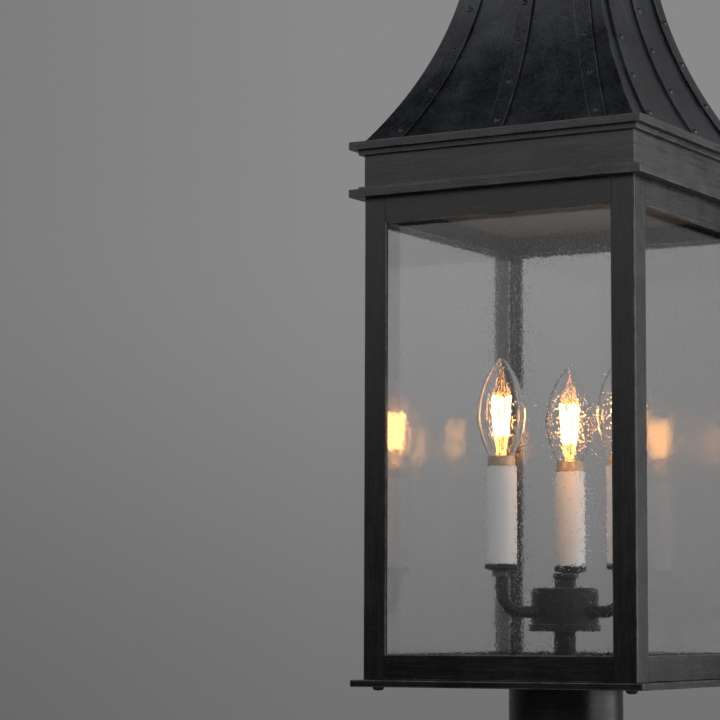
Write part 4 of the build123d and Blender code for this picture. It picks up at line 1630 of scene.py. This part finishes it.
@dataclass
class Studio:
    """Grey room, pale floor, soft lamps and the camera, which the photograph's edges gave."""

    view: tuple[float, float] = (-0.484, 0.875)
    low_tone: float = 0.151
    high_tone: float = 0.229
    left_share: float = 0.81
    right_share: float = 1.09
    behind_glow: float = 0.18
    floor_glow: float = 0.012
    wall_glow: float = 0.095
    ceiling_share: float = 0.25
    floor_radius: float = 1.3
    floor_tones: tuple[Colour, Colour] = ((0.72, 0.715, 0.71), (0.76, 0.755, 0.75))
    floor_dim: Colour = (0.34, 0.34, 0.34)
    camera_spot: tuple[float, float, float] = (0.82906, -1.65648, 0.04496)
    camera_yaw: float = 28.933
    camera_pitch: float = 5.83
    focal_length: float = 128.36
    sensor: float = 36.0
    shift: float = -0.1389

    def build(self) -> None:
        """Build the room, the floor, the lamps and the camera."""
        self.room()
        self.floor()
        Softbox("side_box", 108.0, 1.5, 1.87, -0.25, 0.8, 2.9).build()
        Softbox("front_box", -29.0, 0.95, 1.2, -0.02, 1.3, 1.1, fade=0.5, curve=1.2).build()
        Softbox("fill_box", 12.0, 1.5, 1.3, 0.2, 1.5, 0.75).build()
        Softbox("rear_box", 132.7, 1.58, 1.0, -0.1, 1.2, 0.6).build()
        self.camera()

    def room(self) -> None:
        """World: a grey backdrop, and round it a dim room.

        The backdrop grows lighter upwards and to the right of the photograph's view. What the
        lantern reflects is the backdrop where it faces away from the camera and the room elsewhere.
        """
        world = bpy.data.worlds.new("room")
        bpy.context.scene.world = world
        world.use_nodes = True
        graph = Graph(world.node_tree)
        direction = graph.add("ShaderNodeTexCoord").outputs["Generated"]
        up = graph.add("ShaderNodeSeparateXYZ", {0: direction}).outputs[2]
        ahead = (*self.view, 0.0)
        rightward = (self.view[1], -self.view[0], 0.0)
        across, behind = (
            graph.add("ShaderNodeVectorMath", {0: direction, 1: way}, operation="DOT_PRODUCT").outputs[1]
            for way in (rightward, ahead)
        )
        tone = graph.spread(up, -0.06, 0.15, self.low_tone, self.high_tone, "SMOOTHSTEP")
        side = graph.spread(across, -0.24, -0.05, self.left_share, self.right_share)
        backdrop = graph.math("MULTIPLY", tone, side)
        walls = graph.spread(up, -0.06, 0.16, self.floor_glow, self.wall_glow)
        room = graph.math("MULTIPLY", walls, graph.spread(up, 0.4, 0.95, 1.0, self.ceiling_share))
        reflected = graph.mix(graph.spread(behind, 0.15, 0.55), room, self.behind_glow)
        value = graph.mix(graph.rays("Is Camera Ray", "Is Transmission Ray"), reflected, backdrop)
        light = {"Color": (1.0, 0.995, 1.0, 1.0), "Strength": value}
        graph.finish(graph.add("ShaderNodeBackground", light), "World")

    def floor(self) -> None:
        """Plain disc that the fitter stands on, pale to the camera and darker to what reflects it."""
        ring = rows_round(np.array([[self.floor_radius, CAD_BOUNDS[0][2]]]), full_turn(96))[0]
        mesh = bpy.data.meshes.new("floor")
        mesh.from_pydata(ring, [], [list(range(len(ring)))])
        material, graph = new_material("floor_pale")
        tone = graph.spread(graph.noise(graph.place(), 3.0, 4.0), 0.3, 0.7)
        first, second, dim = ((*shade, 1.0) for shade in (*self.floor_tones, self.floor_dim))
        showing = graph.rays("Is Camera Ray", "Is Transmission Ray")
        colour = graph.blend(showing, dim, graph.blend(tone, first, second))
        graph.principled({"Base Color": colour, "Roughness": 0.9})
        mesh.materials.append(material)
        floor = bpy.data.objects.new("floor", mesh)
        bpy.context.scene.collection.objects.link(floor)

    def camera(self) -> None:
        """Camera at the photograph's viewpoint."""
        lens = bpy.data.cameras.new("camera")
        lens.lens, lens.sensor_width, lens.shift_x = self.focal_length, self.sensor, self.shift
        lens.clip_start, lens.clip_end = 0.05, 50.0
        camera = bpy.data.objects.new("camera", lens)
        camera.location = self.camera_spot
        pitch, yaw = math.radians(self.camera_pitch), math.radians(self.camera_yaw)
        camera.rotation_euler = (QUARTER + pitch, 0.0, yaw)
        bpy.context.scene.collection.objects.link(camera)
        bpy.context.scene.camera = camera


# ---------------------------------------------------------------------------------- main


def main() -> None:
    """Build the lantern, piece by piece, and the studio round it."""
    logging.basicConfig(level=logging.INFO, format="%(name)s %(message)s")
    finishes = Finishes()
    parts = [
        PostMount(finishes), CandleCluster(finishes), *(Bulb(finishes, n) for n in (1, 2, 3)),
        Cage(finishes), Entablature(finishes), Roof(finishes), Crown(finishes), CageScrews(finishes),
    ]
    for part in parts:
        part.build()
        LOG.info("%s done", type(part).__name__)
    Studio().build()
    bpy.context.scene.view_settings.view_transform = "Standard"


if __name__ == "__main__":
    main()
